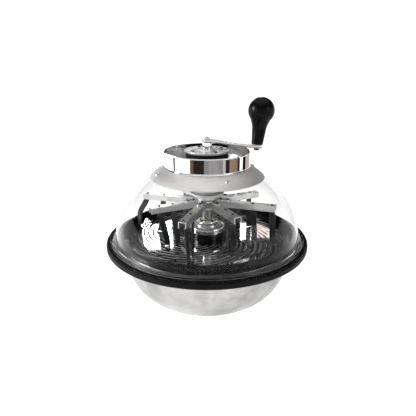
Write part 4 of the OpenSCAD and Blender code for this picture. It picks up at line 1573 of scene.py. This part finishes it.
@dataclass
class FlapSet:
    """Rubber strips that hang from the arms, an outer and an inner one on each."""

    finishes: Finishes
    width: float = 12.0
    thick: float = 2.2
    side: float = 3.7
    steps: int = 30
    tab: float = 3.9
    tab_drop: float = 1.5
    bend_r: float = 1.6
    corner: float = 0.45
    long_hangs: tuple[tuple[Hang, Hang], ...] = (
        (Hang(3, 2, 10), Hang(0, -3, -8)),
        (Hang(20, 3, 30, 0.6), Hang(8, 2, 12)),
        (Hang(-6, 3, 5), Hang(-3, -2, -6)),
        (Hang(5, -2, -10), Hang(4, 3, 14)),
    )
    short_hangs: tuple[tuple[Hang, Hang], ...] = (
        (Hang(4, 3, 12), Hang(2, -2, -14)),
        (Hang(7, -3, -14), Hang(8, 2, 10)),
        (Hang(-12, 3, 10), Hang(-6, 3, -8)),
        (Hang(-4, -2, -5), Hang(3, 2, 4)),
    )

    def path(self, hang: Hang, top: float, low: float) -> list[tuple[Vector, float]]:
        """Middle line of a strip: the tab, its bend and the hanging length.

        Args:
            hang: How it hangs.
            top: Height of the tab's upper face.
            low: Height of the flap's lower end.

        Returns:
            Points and the twist at each in radians.
        """
        turn = self.bend_r
        middle = top - self.thick / 2
        drop = middle - turn - low
        out = [(Vector((0.0, -self.tab, middle)), 0.0)]
        for i in range(7):
            a = math.radians(90 * i / 6)
            y, z = self.side - turn + turn * math.sin(a), middle - turn + turn * math.cos(a)
            out.append((Vector((0.0, y, z)), 0.0))
        for i in range(1, self.steps + 1):
            t = i / self.steps
            gone = min(1.0, t / hang.fall)
            x = hang.lean * gone * gone * (3 - 2 * gone)
            y = self.side + hang.sway * math.sin(math.pi * 0.5 * t) ** 2
            out.append((Vector((x, y, middle - turn - drop * t)), math.radians(hang.twist) * t * t))
        return out

    def strip(
        self, heading: float, radius: float, path: list[tuple[Vector, float]]
    ) -> bpy.types.Mesh:
        """One flap, a bevelled strip swept along its middle line.

        Args:
            heading: Direction of its arm in degrees.
            radius: Radius of its seat on the arm.
            path: Points and twists of its middle line.

        Returns:
            Its mesh in metres.
        """
        work = bmesh.new()
        rows: list[list[bmesh.types.BMVert]] = []
        rot = Matrix.Rotation(math.radians(heading), 3, "Z")
        w, h, c = self.width / 2, self.thick / 2, self.corner
        section = [(-w + c, -h), (w - c, -h), (w, -h + c), (w, h - c)]
        section += [(-x, -y) for x, y in section]
        for i, (spot, twist) in enumerate(path):
            ahead = path[min(i + 1, len(path) - 1)][0] - path[max(i - 1, 0)][0]
            ahead.normalize()
            across = Vector((1.0, 0.0, 0.0))
            across = (across - ahead * across.dot(ahead)).normalized()
            across = Matrix.Rotation(twist, 3, ahead) @ across
            normal = ahead.cross(across)
            row = []
            for u, v in section:
                p = spot + across * u + normal * v + Vector((radius, 0.0, 0.0))
                row.append(work.verts.new(rot @ p * MM))
            rows.append(row)
        for a, b in zip(rows, rows[1:]):
            for k in range(len(section)):
                n = (k + 1) % len(section)
                work.faces.new((a[k], a[n], b[n], b[k]))
        work.faces.new(rows[0][::-1])
        work.faces.new(rows[-1])
        mesh = bpy.data.meshes.new("strip")
        work.to_mesh(mesh)
        work.free()
        return settle(mesh, 50.0)

    def build(self) -> None:
        """Makes and dresses all the flaps."""
        top = Reach.of("hub_body").high - self.tab_drop
        low = Reach.of("long_arm_flaps").low
        for row, hangs in ((LONG, self.long_hangs), (SHORT, self.short_hangs)):
            strips = [
                self.strip(row.heading + 90 * i, radius, self.path(hang, top, low))
                for i, pair in enumerate(hangs)
                for radius, hang in zip((row.outer, row.inner), pair)
            ]
            name, node = f"{row.kind}_arm_strips", f"{row.kind}_arm_flaps"
            add_piece(name, joined(node, strips), Body.ROTOR, self.finishes.flap, node)


@dataclass
class RotorSet:
    """The shaft with its crank, hub, arms and flaps."""

    finishes: Finishes
    tree: RingTree
    hub_screw: Screw = Screw(shank_r=1.5, head_r=3.0, head_h=1.8, length=6.4)
    hub_rings: tuple[float, float] = (30.8, 43.8)
    flap_screw: Screw = Screw(shank_r=1.5, head_r=3.0, head_h=1.8, length=6.7)
    flap_nut: Nut = Nut(flats=4.6, height=2.4, end_r=1.2)
    flap_grip: float = 3.7
    screw_spin: float = 0.3

    def arms(self) -> None:
        """Makes and dresses the eight channels, each drawn along its own length."""
        for row in (LONG, SHORT):
            for i in range(4):
                node = f"arm_{row.kind}_{i + 1}"
                finish = Drawn(f"channel_{node}", (0.7, 0.7, 0.69), row.heading + 90 * i, 0.3)
                name = f"channel_{row.kind}_{i + 1}"
                add_eased(name, node, 0.3, Body.ROTOR, finish.material())

    def screws(self) -> None:
        """Makes the screws and nuts on the arms."""
        dark, spin = self.finishes.dark_screw, self.screw_spin
        seat = Reach.of("hub_screws").high - self.hub_screw.head_h
        turn = math.radians(LONG.heading)
        on_hub = [
            self.tree.mesh(self.hub_screw.mesh(), dark, 8, ring, seat, turn, spin=spin)
            for ring in self.hub_rings
        ]
        add_piece("hub_screw_set", joined("hub_screw_set", on_hub), Body.ROTOR, dark, "hub_screws")
        seat = Reach.of("arm_long_1").high
        under = seat - self.flap_grip
        on_arms = []
        for row in (LONG, SHORT):
            turn = math.radians(row.heading)
            for ring in (row.outer, row.inner):
                on_arms += [
                    self.tree.mesh(self.flap_screw.mesh(), dark, 4, ring, seat, turn, spin=spin),
                    self.tree.mesh(self.flap_nut.mesh(), dark, 4, ring, under, turn),
                ]
        mesh = joined("flap_screw_set", on_arms)
        add_piece("flap_screw_set", mesh, Body.ROTOR, dark, "flap_screws")

    def build(self) -> None:
        """Makes and dresses everything that turns with the crank."""
        f = self.finishes
        for name, node, width, finish, segments in (
            ("drive_shaft", "main_shaft", 0.35, f.chrome, 2),
            ("shaft_sleeve", "shaft_collar", 0.35, f.chrome, 2),
            ("crank_bar", "crank_arm", 0.5, f.crank, 3),
            ("crank_head_bolt", "crank_bolt", 0.3, f.screw, 2),
            ("spindle_lock_nut", "spindle_nut", 0.3, f.dark_screw, 2),
            ("knob_pin", "knob_spindle", 0.25, f.screw, 2),
            ("hub_turned", "hub_body", 0.4, f.hub, 2),
            ("hub_star", "hub_cap", 0.4, f.hub, 2),
        ):
            add_eased(name, node, width, Body.ROTOR, finish, segments)
        dress_nodes(f.gear, "upper_inner_race", "lower_inner_race")
        dress_nodes(f.dark_screw, "hub_grub_screw")
        self.arms()
        self.screws()
        FlapSet(f).build()


@dataclass
class KnobSet:
    """The pear-shaped knob that turns on its spindle."""

    finishes: Finishes
    ball_r: float = 26.1
    height: float = 92.8
    foot_r: float = 11.6
    lift: float = 1.7
    bore: float = 4.05
    pocket_r: float = 5.6
    pocket_low: float = 55.6
    pocket_high: float = 60.5

    def outline(self) -> Profile:
        """Section of the knob, standing on the crank's bar.

        Returns:
            The closed outline.
        """
        z, foot, pocket = self.lift, self.foot_r, self.pocket_r
        ball = z + self.height - self.ball_r
        under = math.radians(-40)
        join = (self.ball_r * math.cos(under), ball + self.ball_r * math.sin(under))
        stem = (foot + 2.7, z + 33)
        return (
            [(self.bore, z), (foot - 1.0, z), (foot - 0.3, z + 0.3), (foot, z + 1.0)]
            + bend(stem, (stem[0] + 1.5, stem[1] + 8), join, 16)
            + arc((0, ball), self.ball_r, self.ball_r, -38, 90, 44)[:-1]
            + [(0.0, ball + self.ball_r), (0.0, self.pocket_high + 1.5)]
            + [(pocket, self.pocket_high), (pocket, self.pocket_low), (self.bore, self.pocket_low)]
        )

    def build(self) -> None:
        """Makes and dresses the knob."""
        joint = next(j for j in FRAME["joints"] if j["name"] == "knob_spin")
        turn = Vector((0, 0, 1)).rotation_difference(Vector(joint["axis"])).to_matrix().to_4x4()
        mesh = turned("knob_pear", self.outline(), 144, 40.0)
        mesh.transform(Matrix.Translation(Vector(joint["pos_m"])) @ turn)
        mesh.update()
        add_piece("knob_pear", mesh, Body.KNOB, self.finishes.knob, "knob")


# ---------------------------------------------------------------------------
# Studio
# ---------------------------------------------------------------------------


@dataclass(frozen=True)
class Lamp:
    """A soft box: where it stands, what it faces, its size and its strength."""

    name: str
    place: Triple
    aim: Triple
    width: float
    height: float
    power: float
    tint: Triple = (1.0, 1.0, 1.0)

    def build(self) -> None:
        """Adds the lamp, hidden from direct view."""
        data = bpy.data.lights.new(self.name, "AREA")
        data.shape = "RECTANGLE"
        data.size, data.size_y = self.width, self.height
        data.energy = self.power
        data.color = self.tint
        lamp = bpy.data.objects.new(self.name, data)
        lamp.location = self.place
        aim = Vector(self.aim) - Vector(self.place)
        lamp.rotation_euler = aim.to_track_quat("-Z", "Y").to_euler()
        lamp.visible_camera = False
        bpy.context.scene.collection.objects.link(lamp)


@dataclass
class Studio:
    """A pale floor, soft light and the camera. Its sizes are in metres and degrees.

    The sky is the room's light by height, and the band is the low cards: where each one starts
    and ends around the machine, counted from the front, and its shade.
    """

    lens: float = 35.27
    sensor: float = 36.0
    pitch: float = 19.10
    eye: Triple = (0.0, -0.8065, 0.4756)
    shift: float = 0.0024
    floor_side: float = 14.0
    sky: tuple[Point, ...] = (
        (0.0, 1.08), (0.15, 1.08), (0.2, 0.03), (0.62, 0.05), (0.78, 0.55), (1.0, 0.7)
    )
    band_r: float = 0.95
    band_low: float = 0.001
    band_top: float = 0.16
    band_step: float = 3.0
    band: tuple[tuple[float, float, Triple], ...] = (
        (-43.0, -34.0, (0.16, 0.1, 0.07)),
        (-34.0, -7.0, (0.03, 0.02, 0.016)),
        (-7.0, 40.0, (0.3, 0.29, 0.29)),
        (40.0, 47.0, (0.6, 0.58, 0.56)),
        (47.0, 58.0, (0.03, 0.02, 0.02)),
        (58.0, 84.0, (0.3, 0.2, 0.14)),
        (84.0, 92.0, (0.05, 0.035, 0.03)),
        (104.0, 118.0, (0.01, 0.01, 0.01)),
        (118.0, 150.0, (0.55, 0.5, 0.47)),
        (-96.0, -88.0, (0.2, 0.2, 0.2)),
    )
    soft_boxes: tuple[Lamp, ...] = (
        Lamp("key_left", (-1.54, -0.12, 0.83), (0.0, 0.0, 0.25), 0.32, 0.32, 30.0),
        Lamp("window_left", (-0.45, 2.5, 1.13), (-0.05, 0.0, 0.13), 0.28, 0.36, 5.0),
        Lamp("window_right", (0.34, 2.5, 1.15), (0.05, 0.0, 0.13), 0.11, 0.15, 0.6),
        Lamp("bounce_right", (0.485, 2.5, 1.10), (0.05, 0.0, 0.13), 0.17, 0.2, 0.35,
             tint=(1.0, 0.88, 0.8)),
        Lamp("fill_right", (1.5, -0.9, 0.9), (0.0, 0.0, 0.2), 0.7, 0.7, 4.0),
        Lamp("top", (0.0, 0.1, 2.2), (0.0, 0.0, 0.2), 2.2, 2.2, 9.0),
    )

    def camera(self) -> None:
        """Adds the camera."""
        data = bpy.data.cameras.new("camera")
        data.lens = self.lens
        data.sensor_width = self.sensor
        data.shift_x = self.shift
        data.clip_start = 0.01
        camera = bpy.data.objects.new("camera", data)
        camera.location = self.eye
        camera.rotation_euler = (math.radians(90 - self.pitch), 0.0, 0.0)
        bpy.context.scene.collection.objects.link(camera)
        bpy.context.scene.camera = camera

    def floor(self) -> None:
        """Adds the floor."""
        mesh = bpy.data.meshes.new("floor")
        side = self.floor_side
        corners = [(-side, -side, 0), (side, -side, 0), (side, side, 0), (-side, side, 0)]
        mesh.from_pydata(corners, [], [(0, 1, 2, 3)])
        mesh.materials.append(StudioFloor("studio_floor", glow=0.92).material())
        as_object("floor", mesh)

    def cards(self) -> None:
        """Stands low cards around the machine that only its shiny pieces can see."""
        for i, (start, end, shade) in enumerate(self.band):
            name = f"card_{i}"
            steps = max(2, round((end - start) / self.band_step))
            verts: list[Triple] = []
            for k in range(steps + 1):
                a = math.radians(start + (end - start) * k / steps - 90)
                x, y = self.band_r * math.cos(a), self.band_r * math.sin(a)
                verts += [(x, y, self.band_low), (x, y, self.band_top)]
            mesh = bpy.data.meshes.new(name)
            faces = [(2 * k, 2 * k + 1, 2 * k + 3, 2 * k + 2) for k in range(steps)]
            mesh.from_pydata(verts, [], faces)
            mesh.materials.append(Card(name, shade).material())
            card = as_object(name, mesh)
            card.visible_camera = card.visible_diffuse = False
            card.visible_shadow = card.visible_transmission = False

    def surround(self) -> None:
        """Fills the room with light that is pale low down, dim above it and soft overhead.

        What is seen straight on or only through the dome is the pale wall of the studio.
        """
        world = bpy.data.worlds.new("studio")
        bpy.context.scene.world = world
        world.use_nodes = True
        g = Graph(world.node_tree)
        height = g.part(g.node("ShaderNodeTexCoord").outputs["Generated"], 2)
        ramp = g.node("ShaderNodeValToRGB", Fac=height)
        elements = ramp.color_ramp.elements
        white = (1.0, 1.0, 1.0)
        for element, (at, level) in zip((elements[0], elements[1]), (self.sky[0], self.sky[-1])):
            element.position, element.color = at, colour(white, level)
        for at, level in self.sky[1:-1]:
            elements.new(at).color = colour(white, level)
        path = g.node("ShaderNodeLightPath").outputs
        bounces = g.math("ADD", path["Glossy Depth"], path["Diffuse Depth"])
        through = g.math("MULTIPLY", path["Is Transmission Ray"], g.math("LESS_THAN", bounces, 0.5))
        seen = g.math("MAXIMUM", path["Is Camera Ray"], through)
        light = g.blend(seen, ramp.outputs[0], colour(white, self.sky[0][1]))
        back = g.node("ShaderNodeBackground", Color=light)
        g.end("ShaderNodeOutputWorld", "Surface", back.outputs[0])

    def build(self) -> None:
        """Makes the whole studio."""
        bpy.context.scene.view_settings.view_transform = "Standard"
        self.camera()
        self.floor()
        self.cards()
        self.surround()
        for lamp in self.soft_boxes:
            lamp.build()


# ---------------------------------------------------------------------------


def main() -> None:
    """Builds the machine and its studio."""
    logging.basicConfig(level=logging.INFO, format="%(message)s", stream=sys.stdout)
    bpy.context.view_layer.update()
    finishes = Finishes()
    tree = RingTree()
    BowlSet(finishes).build()
    PanSet(finishes, tree).build()
    CutterSet(finishes).build()
    DomeSet(finishes, tree).build()
    RotorSet(finishes, tree).build()
    KnobSet(finishes).build()
    Studio().build()


with open("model.json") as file:
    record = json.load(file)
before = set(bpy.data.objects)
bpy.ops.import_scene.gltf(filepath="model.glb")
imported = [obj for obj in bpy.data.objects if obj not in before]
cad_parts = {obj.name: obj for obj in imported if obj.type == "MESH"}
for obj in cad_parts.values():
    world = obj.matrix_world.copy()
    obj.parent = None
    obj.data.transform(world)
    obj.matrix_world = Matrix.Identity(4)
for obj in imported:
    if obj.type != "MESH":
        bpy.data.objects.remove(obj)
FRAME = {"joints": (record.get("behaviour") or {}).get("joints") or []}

if __name__ == "__main__":
    main()
